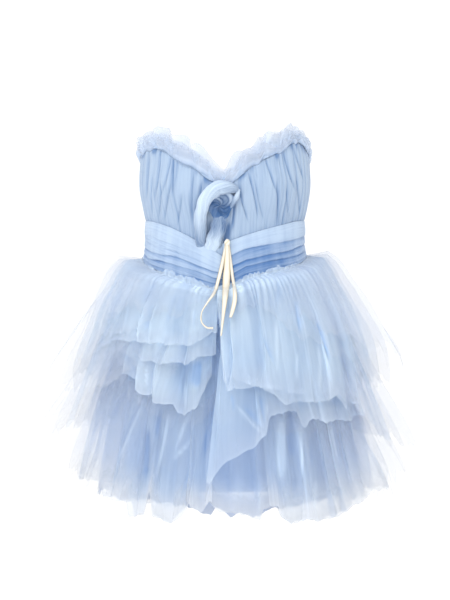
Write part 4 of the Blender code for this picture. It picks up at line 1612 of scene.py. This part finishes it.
@dataclass
class Skirt(Garment):
    """Three tiers of gathered net over the slip, each of several plies.

    Attributes:
        plain_size: points along and down a smooth ply.
        plies: every ply, from the outside in.
        crowding: how far the columns crowd towards the front.
        gather_depth: how deep the fine gathers at a seam are.
        crease_depth: how deep the fine creases below them are.
        swell: how far slow noise swells a ply, and how far finer noise does.
        spring: how far the top tier springs up below its seam at the sides.
        nearest: how close to the figure a ply may lie.
    """

    columns: int = 560
    rows: int = 38
    plain_size: tuple[int, int] = (320, 30)
    plies: tuple[Ply, ...] = PLIES
    crowding: float = 0.42
    gather_depth: float = 0.0012
    crease_depth: float = 0.0005
    swell: tuple[float, float] = (0.0050, 0.0010)
    spring: float = 0.009
    nearest: float = 0.0024

    @staticmethod
    def stand_off(ply: Ply, drop: Array, angle: Array) -> Array:
        """How far out a ply stands: its share of the flare, less at the front than at the sides.

        The top tier also billows on its +X side, by a bell round the body times a bell down it,
        and a ply with a shelf puffs out just below the waist, more at its -X side.
        """
        seat = ply.tier.flare[0][1]
        flare = smooth_read(ply.tier.flare, 1, drop) - seat
        reach = ply.reach + ply.forward * limited(np.cos(angle)) ** 2
        near_seam = 1.0 - (1.0 - reach) * smooth_step(drop / 0.016)
        out = seat + flare * FIGURE.flare_share(angle) * near_seam
        side = limited(-np.sin(angle)) ** 2 + 0.5 * limited(np.sin(angle)) ** 2
        out = out + ply.shelf * side * smooth_step(drop / 0.020) * bell((drop - 0.040) / 0.050)
        if ply.tier is TOP:
            billow = bell((wrapped_degrees(angle) - 78) / 42) * bell((drop - 0.14) / 0.075)
            out = out + TOP_FULLNESS * billow * ply.reach**4
        return out

    def hem_heights(self, ply: Ply) -> tuple[Array, Array]:
        """The hem as heights round the body.

        A place that shows from the front is carried along its line of sight until it lies on
        the ply: the place is scaled towards the eye by (away + y) / away, and y comes from the
        angle that the scaled place has on the figure, worked out again eight times.

        Args:
            ply: the ply.

        Returns:
            Angles in radians, rising from the ply's start to its end, and the heights there.
        """
        seen = np.array(ply.hem.seen)
        y = np.full(len(seen), -0.2)
        angle, height = np.zeros(len(seen)), seen[:, 1]
        for _ in range(8):
            nearer = (CAMERA_AWAY + y) / CAMERA_AWAY
            height = CAMERA_HEIGHT + (seen[:, 1] - CAMERA_HEIGHT) * nearer
            drop = FIGURE.sash_bottom(angle) - ply.below_sash - height
            out = self.stand_off(ply, np.maximum(drop, 0.0), angle)
            half_width = FIGURE.half_width(height) + out
            angle = np.arcsin(np.clip(seen[:, 0] * nearer / half_width, -0.985, 0.985))
            y = -(FIGURE.front_depth(height) + out) * np.cos(angle)
        turned = np.where(angle < math.radians(ply.start), angle + math.tau, angle)
        behind = np.array(ply.hem.round_it)
        angles = np.concatenate([turned, np.radians(behind[:, 0])])
        heights = np.concatenate([height, behind[:, 1]])
        order = np.argsort(angles)
        return angles[order], heights[order]

    @staticmethod
    def raw_edge(ply: Ply, share: Array) -> Array:
        """How far a raw edge lies above or below its hem: coarse noise and finer noise on it."""
        coarse = edge_noise(share, ply.hem.points, ply.seed + 1)
        return ply.hem.ragged * (coarse + 0.5 * edge_noise(share, ply.hem.points * 3, ply.seed + 2))

    def surface(self, ply: Ply) -> Cloth:
        """A gathered ply.

        Columns crowd towards the front, as x - crowding sin(2 pi x) / 2 pi, because most fold
        lines show there. Along the strip each fold is a sine of its phase. It moves the cloth
        out and in by the flare's fold depth, and back along the strip by the overlap, so that
        strong folds lap over themselves. The folds open out from fine gathers at the seam, which
        are four times as many and fade by two fifths of the way down. The strip hangs from its
        seam to its hem, which is read at the unfolded place, and its raw edge runs up and down
        with noise. Slow noise puffs the whole ply, the fold lines of the front sink it, and just
        below the seam at both sides the top tier springs up a little before it falls.

        Args:
            ply: the ply.

        Returns:
            The cloth.
        """
        columns, rows = self.plain_size if ply.plain else (self.columns, self.rows)
        even, down = open_grid(columns, rows)
        share = even - self.crowding * wave_of(even) / math.tau
        down = down**0.9
        start, span = math.radians(ply.start), math.radians(ply.end - ply.start)
        flat_angle = start + span * share
        seam = FIGURE.sash_bottom(flat_angle) - ply.below_sash
        hem = np.interp(flat_angle, *self.hem_heights(ply)) + self.raw_edge(ply, share)
        drop = (seam - hem) * down

        drift = 0.006 * lattice_noise(share, down, 14, 3, ply.seed) * down
        phase = ply.folds.phase(np.clip(share + drift, 0.0, STRIP_END))
        strength = ply.folds.strength(phase, 0.15, 1.0)
        lapped = ply.folds.strength(phase, 0.0, 1.0, 2) ** 1.5
        wave = wave_of(phase)
        second = ply.folds.strength(phase, 0.0, 0.4, 3) * np.sin(2 * math.tau * phase + 1.0)
        opened = smooth_step(down / 0.40)
        unfolded = opened * (1.0 - 0.6 * smooth_step((down - 0.80) / 0.20))
        shift = span / ply.folds.count * ply.overlap * 1.5 * lapped * wave * (0.15 + 0.85 * unfolded)
        ends = smooth_step(share / 0.01) * smooth_step((1.0 - share) / 0.01)
        lean = math.radians(ply.edge_lean) * down * bell(share / 0.02)
        angle = flat_angle - shift * ends + lean

        fine = Folds(ply.folds.count * 4, 0.6, ply.seed + 3)
        fine_phase = fine.phase(np.clip(share, 0.0, STRIP_END))
        ripple = wave_of(fine_phase) * (not ply.plain)
        gathers = fine.strength(fine_phase, 0.1, 1.0) * ripple * (1.0 - opened)
        small = fine.strength(fine_phase, -1.0, 1.0, 4) * ripple * smooth_step((down - 0.15) / 0.5)
        depth = smooth_read(ply.tier.flare, 2, drop) * ply.fold_share
        slow, quick = self.swell
        soft = slow * lattice_noise(share, down, 18, 3, ply.seed + 4)
        soft = soft + quick * lattice_noise(share, down, 70, 7, ply.seed + 5)
        out = self.stand_off(ply, drop, angle) + ply.lap * bell(share / 0.03) * opened
        out = out + depth * strength * (wave + second)
        out = out + self.gather_depth * gathers * smooth_step(drop / 0.004)
        out = out + self.crease_depth * small + soft * smooth_step(drop / 0.08)
        flick = np.where(np.sin(angle) < 0, *ply.flick) * np.sin(angle) ** 2
        out = out + flick * smooth_step((down - 0.50) / 0.50)
        height = seam - drop
        if ply.tier is TOP:
            spring = (self.spring + 0.9 * ply.shelf) * ply.reach * np.sin(angle) ** 4
            height = height + spring * smooth_step(drop / 0.006) * np.exp(-drop / 0.035)

        creases = () if ply.plain else ply.tier.creases
        lines = creased(FIGURE.place(angle, height, out), creases) * smooth_step(down / 0.1)
        points = FIGURE.place(angle, height, np.maximum(out - 0.3 * lines, self.nearest))
        # painted light on the folds' crests and the gathers, painted shade between them
        crest = 0.62 + 0.40 * wave * strength + 0.50 * gathers
        marks = self.marks(ply, down, points, angle, crest, gathers, lines)
        if ply.tuck:
            tucked = FIGURE.place(angle[:1], seam + ply.tuck, self.nearest)
            points = np.concatenate([tucked, points])
            marks = {mark: np.broadcast_to(values, (rows, columns)) for mark, values in marks.items()}
            marks = {mark: np.concatenate([values[:1], values]) for mark, values in marks.items()}
        return Cloth(ply.name, points, marks)

    @staticmethod
    def marks(
        ply: Ply, down: Array, points: Array, angle: Array, crest: Array, gathers: Array, lines: Array
    ) -> dict[str, Array]:
        """What the shader reads on a ply.

        The upper two tiers are painted lighter on the -X side, as lit, and the top tier a little
        lighter still. It is painted darker in the fold lines as their shade and lighter on their
        edges as a highlight. It covers less where it melts into the veils at the sides, and more
        in its gathers.

        Args:
            ply: the ply.
            down: the share of the way down it.
            points: its grid.
            angle: the angle of each point.
            crest: how light its folds and gathers are painted, as light and shade.
            gathers: how far out its gathers are, from -1 to 1.
            lines: how far its fold lines sink it.

        Returns:
            Its crests, its cover and how far it fades to its hem's colour.
        """
        side = np.sin(angle)
        glint = 1.0 if ply.tier is BOTTOM else 0.5
        dark, edge = limited(lines / 0.006), glint * limited(-lines / 0.0018)
        # painted shade in the fold lines, a painted highlight on their edges, painted light on the -X side
        # and the top tier
        crest = crest - 0.80 * dark + 0.50 * edge
        crest = crest + 0.34 * limited(-side) * (ply.tier is not BOTTOM) + 0.20 * (ply.tier is TOP)
        if ply.finish is VEIL_NET:
            sides = 0.25 + 0.75 * smooth_step((np.abs(side) - 0.35) / 0.45)
            sides = sides * (1.0 - 0.5 * smooth_step((-side - 0.92) / 0.08))
            sides = sides * (1.0 - 0.1 * smooth_step((side - 0.92) / 0.08))
        else:
            left, right = smooth_step((-side - 0.62) / 0.30), smooth_step((side - 0.76) / 0.20)
            lower = 0.50 + 0.50 * smooth_step((down - 0.25) / 0.6)
            sides = 1.0 - ply.side_fade * (left + 0.85 * right) * lower
        near_hem = smooth_step((down - 0.72) / 0.28)
        cover = slope_density(points, 1.25 if ply.plain else 1.9) * sides
        cover = cover * (1.0 + 0.15 * bell((down - 1.0) * 45.0)) * (1.0 + (ply.low - ply.melt) * near_hem)
        cover = cover * (1.0 + 0.4 * bell(down / 0.10)) * (1.0 + 0.28 * gathers)
        return {
            "crest": limited(crest),
            "cover": cover * (1.0 + 0.45 * dark + 0.60 * edge),
            "fade": ply.tier.hem_fade * near_hem,
        }

    def build(self) -> None:
        """Builds every ply."""
        for ply in self.plies:
            self.add(self.surface(ply), ply.finish, panels(ply.tier.stem), "gathered", ["slip"])


@dataclass
class SkirtHeading(Garment):
    """The raw heading of the top tier, a small standing frill that shows below the sash.

    Attributes:
        folds: its ruffles.
        seed: fixes its raw edge.
    """

    columns: int = 900
    rows: int = 9
    folds: Folds = Folds(84, 0.95, 131)
    seed: int = 132

    def surface(self) -> Cloth:
        """The heading.

        It stands up across the skirt's seam, 6 to 20 mm tall and lower at the sides, leaning
        out. It waves by the sine of its ruffles and ends in a raw edge whose height is noise
        with a short step.

        Returns:
            The cloth.
        """
        share, down = open_grid(self.columns, self.rows)
        angle, up = share * math.tau, 1.0 - down
        phase = self.folds.phase(np.clip(share, 0.0, STRIP_END))
        wave = wave_of(phase) * self.folds.strength(phase, 0.0, 1.0)
        torn = 0.5 + 0.5 * edge_noise(share, 300, self.seed)
        swell = 0.5 + 0.5 * edge_noise(share, 70, self.seed + 1)
        sides = np.sin(angle) ** 4
        tall = (0.0055 + 0.0050 * torn + 0.0090 * swell**2) * (1.0 - 0.45 * sides)
        height = FIGURE.sash_bottom(angle) - 0.0070 + tall * up
        out = 0.0100 + 0.0035 * (1 - up) + 0.0034 * up * swell + 0.0010 * wave - 0.0050 * sides
        points = FIGURE.place(angle - 0.010 * wave * up, height, out)
        marks = {
            # painted light on the ruffles' crests
            "crest": limited(0.85 + 0.15 * wave),
            "cover": slope_density(points, 1.6) * (1.5 - 0.60 * up * torn),
            "fade": 0.30 * up,
        }
        return Cloth("skirt_heading", points, marks)

    def build(self) -> None:
        """Builds the heading."""
        self.add(self.surface(), LIT_UPPER_NET, panels("top_tier"), "gathered", ["slip"])


@dataclass
class Slip(Garment):
    """The smooth slip under the tiers.

    Attributes:
        folds: its drapes.
        drape: how deep they are at the hem.
    """

    folds: Folds = Folds(15, 0.7, 141)
    drape: float = 0.0016

    def surface(self) -> Cloth:
        """The slip: the figure's own form with a few long shallow drapes that deepen downwards.

        Towards its hem it tapers inside the figure, in a straight line. Its drapes are painted
        lighter on their crests, and a narrow band at the hem is painted dark as shade.

        Returns:
            The cloth.
        """
        share, angle, down = round_body(self.columns, self.rows)
        top = FIGURE.waist_seam(angle) - SEAM_GAP
        phase = self.folds.phase(share + 0.004 * lattice_noise(share, down, 8, 2, self.folds.seed + 1) * down)
        wave = self.folds.strength(phase, 0.2, 1.0) * np.cos(math.tau * phase)
        drape = self.drape * wave * smooth_step((down - 0.25) / 0.6)
        height = top + (SLIP_HEM - top) * down
        # painted shade: a dark band at the hem; the drapes' crests are painted lighter
        hem_band_shade = smooth_step((down - 0.955) / 0.012)
        marks = {"crest": np.clip(0.7 + 0.5 * wave, 0.0, 1.2) - 1.6 * hem_band_shade}
        taper = SLIP_TAPER * limited((SLIP_TAPER_STARTS - height) / (SLIP_TAPER_STARTS - SLIP_HEM))
        points = FIGURE.place(angle, height, LINED_CLOTH + drape - taper)
        return Cloth("slip", points, marks, ring=True)

    def build(self) -> None:
        """Builds the slip as a closed wall."""
        wall = LINED_CLOTH * 0.6
        self.add(self.surface(), SLIP_CLOTH, panels("slip"), "hung", ["bodice"], thickness=wall)


# ---------------------------------------------------------------- twist


# number, across, height, half across and half thick at even steps along each roll
LOOP_STATIONS = keyed_mm(
    (0, -41, -24, 8.5, 1.6), (1, -42.3, -8, 9.8, 4), (2, -42.8, 11, 10.4, 6.2), (3, -42.4, 30, 10.6, 7.4),
    (4, -39.5, 49, 11.2, 8.2), (5, -30.5, 66.5, 12.4, 8.8), (6, -16, 78.5, 13.4, 9.2),
    (7, 0, 81.5, 12, 8.8), (8, 13.8, 80.2, 8.2, 6.6), (9, 23.2, 77.5, 3.4, 3.4),
)
TURN_STATIONS = keyed_mm(
    (0, 23.6, 80, 3, 2.8), (1, 21.2, 70, 4.4, 4.4), (2, 16, 59, 4.4, 4.4), (3, 9, 47, 2.6, 2.6),
)
STRIP_STATIONS = keyed_mm(
    (0, -9.2, 34.5, 13, 2), (1, -10, 25, 13.8, 3.6), (2, -12, 13, 13.8, 4.4), (3, -16.5, -2, 13.6, 4),
    (4, -21.5, -16, 12.8, 3), (5, -25.5, -29, 11, 1.2),
)


@dataclass(frozen=True)
class Roll:
    """One roll of the twist.

    Attributes:
        name: the piece's name.
        stations: its places and sizes.
        steps: rings along it.
        turns: how often its folds wind round it.
        palest: the share of its length that is painted palest, as lit.
        shade: how much painted shade darkens it away from there.
        seed: fixes its folds.
    """

    name: str
    stations: Table
    steps: int
    turns: float
    palest: float
    shade: float
    seed: int


@dataclass
class Twist(Garment):
    """The rolled strip of net that loops up, over and back down at the centre front.

    Attributes:
        rolls: the loop, its turn back down and the strip that comes out below it.
        swirl_size: points out from the middle of the swirl and round it.
        swirl_across: how far to the side its middle lies.
        swirl_height: the height of its middle.
        swirl_reach: how far it reaches to the side and up.
        swirl_dish: how much further out its rim lies.
        swirl_fold: how far its folds stand up.
    """

    rolls: tuple[Roll, ...] = (
        Roll("twist_loop", LOOP_STATIONS, 150, 0.55, 0.55, 0.50, 151),
        Roll("twist_turn", TURN_STATIONS, 60, 0.30, 0.30, 0.50, 171),
        Roll("twist_strip", STRIP_STATIONS, 80, 0.12, 0.90, 0.55, 161),
    )
    swirl_size: tuple[int, int] = (34, 120)
    swirl_across: float = -0.0090
    swirl_height: float = 0.0515
    swirl_reach: tuple[float, float] = (0.0250, 0.0240)
    swirl_dish: float = 0.0050
    swirl_fold: float = 0.0040

    def surface(self, roll: Roll) -> Cloth:
        """A roll.

        A section with its own half width and half thickness is carried along a smooth path. Its
        outline swells by lobes of |sin| that wind round it, which are the folds of the rolled
        strip, and by slow noise. The first and last ring close to a point. Where it runs under
        the sash it lies closer to the body.

        Args:
            roll: its sizes.

        Returns:
            The cloth, whose rows run round the section and columns along the path.
        """
        last = len(roll.stations) - 1
        at = np.linspace(0.0, last, roll.steps)
        across, height, half_across, half_thick = (smooth_read(roll.stations, i, at) for i in range(1, 5))
        turned = FIGURE.turned(across, height)
        clear = smooth_step((height - FIGURE.sash_top(turned) + 0.004) / 0.020)
        seat = FIGURE.cups(turned, height) + LINED_CLOTH + 0.0006 + GATHER_DEPTH * clear
        middle = FIGURE.on_front(across, height, seat + half_thick)
        along = unit(np.gradient(middle, axis=0))
        outward = unit(FORWARD - along * (along @ FORWARD)[:, None])
        side = np.cross(along, outward)

        share = (at / last)[None, :]
        around = np.linspace(0.0, 1.0, self.rows, endpoint=False)[:, None]
        wound = around + roll.turns * share + 0.06 * lattice_noise(share, around, 9, 3, roll.seed)
        folds = Folds(7, 0.9, roll.seed + 1)
        phase = folds.phase(wound)
        fading = 0.75 + 0.25 * lattice_noise(share, around, 8, 3, roll.seed + 4)
        strength, groove = folds.strength(phase, 0.15, 1.0) * fading, 1.0 - ridge(phase, 0.6)
        fine = Folds(23, 0.7, roll.seed + 2)
        fine_groove = 1.0 - ridge(fine.phase(wound + 0.02 * np.sin(9 * share)), 1.0)
        puff = lattice_noise(around, share, 4, 14, roll.seed + 3)
        swell = 1.0 - 0.17 * strength * groove - 0.04 * fine_groove + 0.10 * puff
        closed = np.sqrt(limited(np.minimum(share, 1.0 - share) / 0.03))
        turn = -math.tau * around
        across_part = side[None] * (half_across[None, :] * np.cos(turn) * swell * closed)[..., None]
        through_part = outward[None] * (half_thick[None, :] * np.sin(turn) * swell * closed)[..., None]
        # painted shade in the winding folds' grooves and away from its palest place
        crest = 1.0 - 0.50 * strength * groove - 0.18 * fine_groove
        crest = crest - roll.shade * smooth_step(np.abs(share - roll.palest) / 0.55)
        points = middle[None] + across_part + through_part
        marks = {"crest": limited(crest.T)}
        return Cloth(roll.name, np.transpose(points, (1, 0, 2)), marks, ring=True)

    def swirl(self) -> Cloth:
        """The folded cloth that fills the loop, painted dark as the shade of its hollow.

        It is a shallow three-cornered dish: its radius is 1 + 0.16 cos 3(a - 55 degrees) at an
        angle a from the top. At a share r of the way out it lies r^2 of its depth further out,
        and folds wind into it as |sin| of a phase that turns with r.

        Returns:
            The cloth, whose rows run out from the middle.
        """
        rings, points_round = self.swirl_size
        r = np.linspace(0.02, 1.0, rings)[:, None]
        around = np.linspace(0.0, 1.0, points_round, endpoint=False)[None, :]
        folds = Folds(9, 0.9, 165)
        phase = folds.phase(around + 0.30 * r + 0.05 * lattice_noise(around, r, 6, 2, 166))
        crests, strength = ridge(phase, 0.7), folds.strength(phase, 0.3, 1.0)
        corner = 1.0 + 0.16 * np.cos(3 * (math.tau * around - math.radians(55)))
        reach_across, reach_up = self.swirl_reach
        across = self.swirl_across + reach_across * r * corner * np.sin(math.tau * around)
        height = self.swirl_height + reach_up * r * corner * np.cos(math.tau * around)
        seat = FIGURE.cups(FIGURE.turned(across, height), height) + LINED_CLOTH + GATHER_DEPTH
        fold = self.swirl_fold * strength * crests * np.sin(math.pi * r)
        out = seat + 0.0012 + self.swirl_dish * r**2 + fold
        # painted shade: darkest in the middle of the hollow and between the folds, painted lighter at its top
        # and bottom and towards the rim
        upper, lower = smooth_step((height - 0.047) / 0.020), smooth_step((0.034 - height) / 0.008)
        light = 0.22 + 0.75 * upper + 0.6 * lower
        crest = light * (0.10 + 0.90 * crests * strength) * (0.5 + 0.5 * r)
        points = FIGURE.on_front(across, height, out)
        return Cloth("twist_swirl", points, {"crest": limited(crest)}, ring=True)

    def build(self) -> None:
        """Builds the rolls and the folds in the loop."""
        for cloth in (*map(self.surface, self.rolls), self.swirl()):
            self.add(cloth, ROLLED_NET, ["twist_roll"])


# ---------------------------------------------------------------- ribbon tie


# number, across, height and stand-off from the cloth, down each tail
LEFT_TAIL = keyed_mm(
    (0, 2.6, -12.5, 3.6), (1, -5, -50, 1.8), (2, -11, -75, 2.5), (3, -18, -98, 4.2), (4, -30, -116, 3),
    (5, -39.5, -132, 3), (6, -40, -148, 3), (7, -31, -158, 3.5), (8, -20, -159, 4),
)
MIDDLE_TAIL = keyed_mm(
    (0, 4, -11, 5.6), (1, 3.5, -52, 3.2), (2, 2.5, -78, 3), (3, 0.5, -103, 3.5), (4, -2, -127, 3.5),
    (5, -4.5, -150, 3.5), (6, -7, -172, 3.5),
)
RIGHT_TAIL = keyed_mm(
    (0, 5.4, -13, 3.6), (1, 10.5, -52, 1.8), (2, 13.5, -74, 2.2), (3, 16.5, -93, 2.5),
    (4, 16.5, -112, 2.8), (5, 12.5, -130, 3), (6, 9, -141, 3.4),
)


@dataclass(frozen=True)
class Tail:
    """One satin tail.

    Attributes:
        place: left, middle or right.
        stations: its path.
        widths: (share of its length, half width).
        turn: (share of its length, how far its face turns there in radians).
    """

    place: str
    stations: Table
    widths: Table
    turn: Table


@dataclass
class RibbonTie(Garment):
    """The small knot at the centre front and its three satin tails.

    Attributes:
        tails: the three tails.
        thickness: how thick a tail is.
        knot_size: points from pole to pole of the knot and round it.
        knot_place: how far to the side the knot's middle lies, and its height.
        knot_half: the knot's half width, half depth and half height.
        knot_out: how far outside the sash its middle lies.
        knot_sink: how far the knot is pressed into the sash.
    """

    tails: tuple[Tail, ...] = (
        Tail(
            "left",
            LEFT_TAIL,
            ((0.0, 0.0022), (0.12, 0.0030), (0.30, 0.0028), (0.5, 0.0018), (0.7, 0.0014), (1.0, 0.0018)),
            ((0.0, 0.0), (0.35, 0.2), (0.6, 0.9), (0.85, 0.5), (1.0, 0.2)),
        ),
        Tail(
            "middle",
            MIDDLE_TAIL,
            ((0.0, 0.0022), (0.14, 0.0046), (0.32, 0.0066), (0.55, 0.0044), (0.8, 0.0026), (1.0, 0.0016)),
            ((0.0, 0.0), (0.4, -0.2), (0.7, 0.5), (1.0, 0.9)),
        ),
        Tail(
            "right",
            RIGHT_TAIL,
            ((0.0, 0.0022), (0.4, 0.0030), (0.7, 0.0036), (1.0, 0.0026)),
            ((0.0, 0.3), (0.4, -0.5), (0.7, 0.1), (1.0, 0.6)),
        ),
    )
    columns: int = 9
    rows: int = 90
    thickness: float = 0.0006
    knot_size: tuple[int, int] = (34, 56)
    knot_place: tuple[float, float] = (0.0038, -0.0125)
    knot_half: tuple[float, float, float] = (0.0052, 0.0046, 0.0066)
    knot_out: float = 0.0050
    knot_sink: float = 0.0012

    def tail(self, tail: Tail) -> Cloth:
        """A tail: a shallow curved section carried along a smooth path on the cloth.

        Across the ribbon the section bows by a twelfth of its width, and it turns about the
        path by the tail's own angle.

        Args:
            tail: its sizes.

        Returns:
            The cloth, whose rows run down the tail.
        """
        at = np.linspace(0.0, len(tail.stations) - 1.0, self.rows)
        share = at / at[-1]
        across, height, stand_off = (smooth_read(tail.stations, i, at) for i in range(1, 4))
        half, turn = smooth_read(tail.widths, 1, share), smooth_read(tail.turn, 1, share)
        lift = stand_off + half * np.abs(np.sin(turn))
        middle = FIGURE.on_front(across, height, FIGURE.front_cloth(across, height) + lift)
        along = unit(np.gradient(middle, axis=0))
        side = unit(np.cross(FORWARD, along))
        face = np.cross(along, side)
        turned = side * np.cos(turn)[:, None] + face * np.sin(turn)[:, None]
        bowed = face * np.cos(turn)[:, None] - side * np.sin(turn)[:, None]
        place = np.linspace(-1.0, 1.0, self.columns)[None, :]
        flat = turned[:, None] * (half[:, None] * place)[..., None]
        bow = bowed[:, None] * (half[:, None] * (1 - place**2) / 6.0)[..., None]
        return Cloth(f"ribbon_tail_{tail.place}", middle[:, None] + flat + bow, {"edge": np.abs(place) ** 3})

    def knot(self) -> Cloth:
        """The knot: an egg whose radius is grooved where the ribbon winds round it.

        The grooves are |sin| of a slanting phase and are painted towards gold as their shade,
        and the egg has its own three half sizes.

        Returns:
            The cloth, whose rows run from pole to pole.
        """
        rings, points_round = self.knot_size
        polar = np.linspace(0.0, math.pi, rings)[:, None]
        around = np.linspace(0.0, math.tau, points_round, endpoint=False)[None, :]
        groove = np.abs(np.sin(1.5 * around + 2.2 * polar)) ** 0.6
        radius = 0.86 + 0.16 * groove + 0.04 * np.sin(3 * around + 5 * polar)
        out = SASH_OUT + TULLE + SASH_PLEAT_DEPTH + self.knot_out - self.knot_sink
        centre = FIGURE.on_front(*map(np.array, self.knot_place), out)
        x, y, z = np.sin(polar) * np.sin(around), -np.sin(polar) * np.cos(around), np.cos(polar)
        ball = np.stack(np.broadcast_arrays(x, y, z), -1)
        points = centre + ball * radius[..., None] * np.array(self.knot_half)
        # the edge number paints the knot's grooves gold, as shade
        return Cloth("knot", points, {"edge": 0.9 * (1 - groove)}, ring=True)

    def build(self) -> None:
        """Builds the knot and the tails, which hang from it."""
        self.add(self.knot(), CREAM_SATIN, ["ribbon_knot"])
        for tail in self.tails:
            self.add(self.tail(tail), CREAM_SATIN, [f"ribbon_{tail.place}"], thickness=self.thickness)


# ---------------------------------------------------------------- studio


@dataclass
class Studio:
    """A plain pale floor, a soft studio light and the camera.

    Attributes:
        floor_height: where the floor lies, below the dress as its wearer would stand.
        floor_size: length of its side.
        surround: strength of the even white light from all round.
        key: strength of the soft light from the front.
        key_size: how wide it is.
        key_place: where it stands.
        key_turn: degrees that it is turned about each axis.
        lens: the camera's focal length in mm.
        sensor: the width of its sensor in mm.
        veils: how many see-through plies light passes.
    """

    floor_height: float = -1.05
    floor_size: float = 30.0
    surround: float = 1.12
    key: float = 24.0
    key_size: float = 1.6
    key_place: tuple[float, float, float] = (-0.9, -2.4, 1.5)
    key_turn: tuple[float, float, float] = (58.0, 0.0, -20.0)
    lens: float = 100.0
    sensor: float = 36.0
    veils: int = 64

    @staticmethod
    def stand(
        name: str, data: bpy.types.ID, place: Sequence[float], turn: Sequence[float]
    ) -> bpy.types.Object:
        """Links an object at a place, turned by degrees about each axis."""
        made = bpy.data.objects.new(name, data)
        made.location = place
        made.rotation_euler = tuple(map(math.radians, turn))
        bpy.context.scene.collection.objects.link(made)
        return made

    def floor(self) -> None:
        """A square floor with a faint mottled material."""
        half = self.floor_size / 2
        corners = [(-half, -half), (half, -half), (half, half), (-half, half)]
        mesh = bpy.data.meshes.new("floor")
        mesh.from_pydata([(x, y, self.floor_height) for x, y in corners], [], [(0, 1, 2, 3)])
        shader = Shader("floor_paper")
        place = shader.node("ShaderNodeTexCoord").outputs["Object"]
        tone = shader.noise(place, 0.8, 2.0)
        shader.dress(Base_Color=shader.blend(tone, (0.97, 0.97, 0.97), (0.99, 0.99, 0.99)), Roughness=0.9)
        mesh.materials.append(shader.material)
        self.stand("floor", mesh, (0.0, 0.0, 0.0), (0.0, 0.0, 0.0))

    def light(self) -> None:
        """White light from all round, and a large soft light in front and above."""
        world = bpy.data.worlds.new("studio")
        world.use_nodes = True
        background = world.node_tree.nodes["Background"]
        background.inputs["Color"].default_value = (1.0, 1.0, 1.0, 1.0)
        background.inputs["Strength"].default_value = self.surround
        bpy.context.scene.world = world
        lamp = bpy.data.lights.new("key", "AREA")
        lamp.shape = "DISK"
        lamp.size = self.key_size
        lamp.energy = self.key
        self.stand("key", lamp, self.key_place, self.key_turn)

    def camera(self) -> None:
        """A level camera in front of the dress."""
        lens = bpy.data.cameras.new("camera")
        lens.lens = self.lens
        lens.sensor_width = self.sensor
        place = (0.0, -CAMERA_AWAY, CAMERA_HEIGHT)
        bpy.context.scene.camera = self.stand("camera", lens, place, (90.0, 0.0, 0.0))

    def build(self) -> None:
        """Builds the studio, and lets light through many plies."""
        self.floor()
        self.light()
        self.camera()
        bpy.context.scene.view_settings.view_transform = "Standard"
        bpy.context.scene.cycles.transparent_max_bounces = self.veils


def write_sizes() -> None:
    """Brings the scene's placements up to date."""
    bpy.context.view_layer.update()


def main() -> None:
    """Builds the studio and every part of the dress."""
    logging.basicConfig(level=logging.INFO, format="%(message)s")
    Studio().build()
    wardrobe = Wardrobe()
    for part in (Slip, Bodice, NeckFrill, Sash, SkirtHeading, Skirt, Twist, RibbonTie):
        LOG.info("building %s", part.__name__)
        part(wardrobe).build()
    write_sizes()


if __name__ == "__main__":
    main()
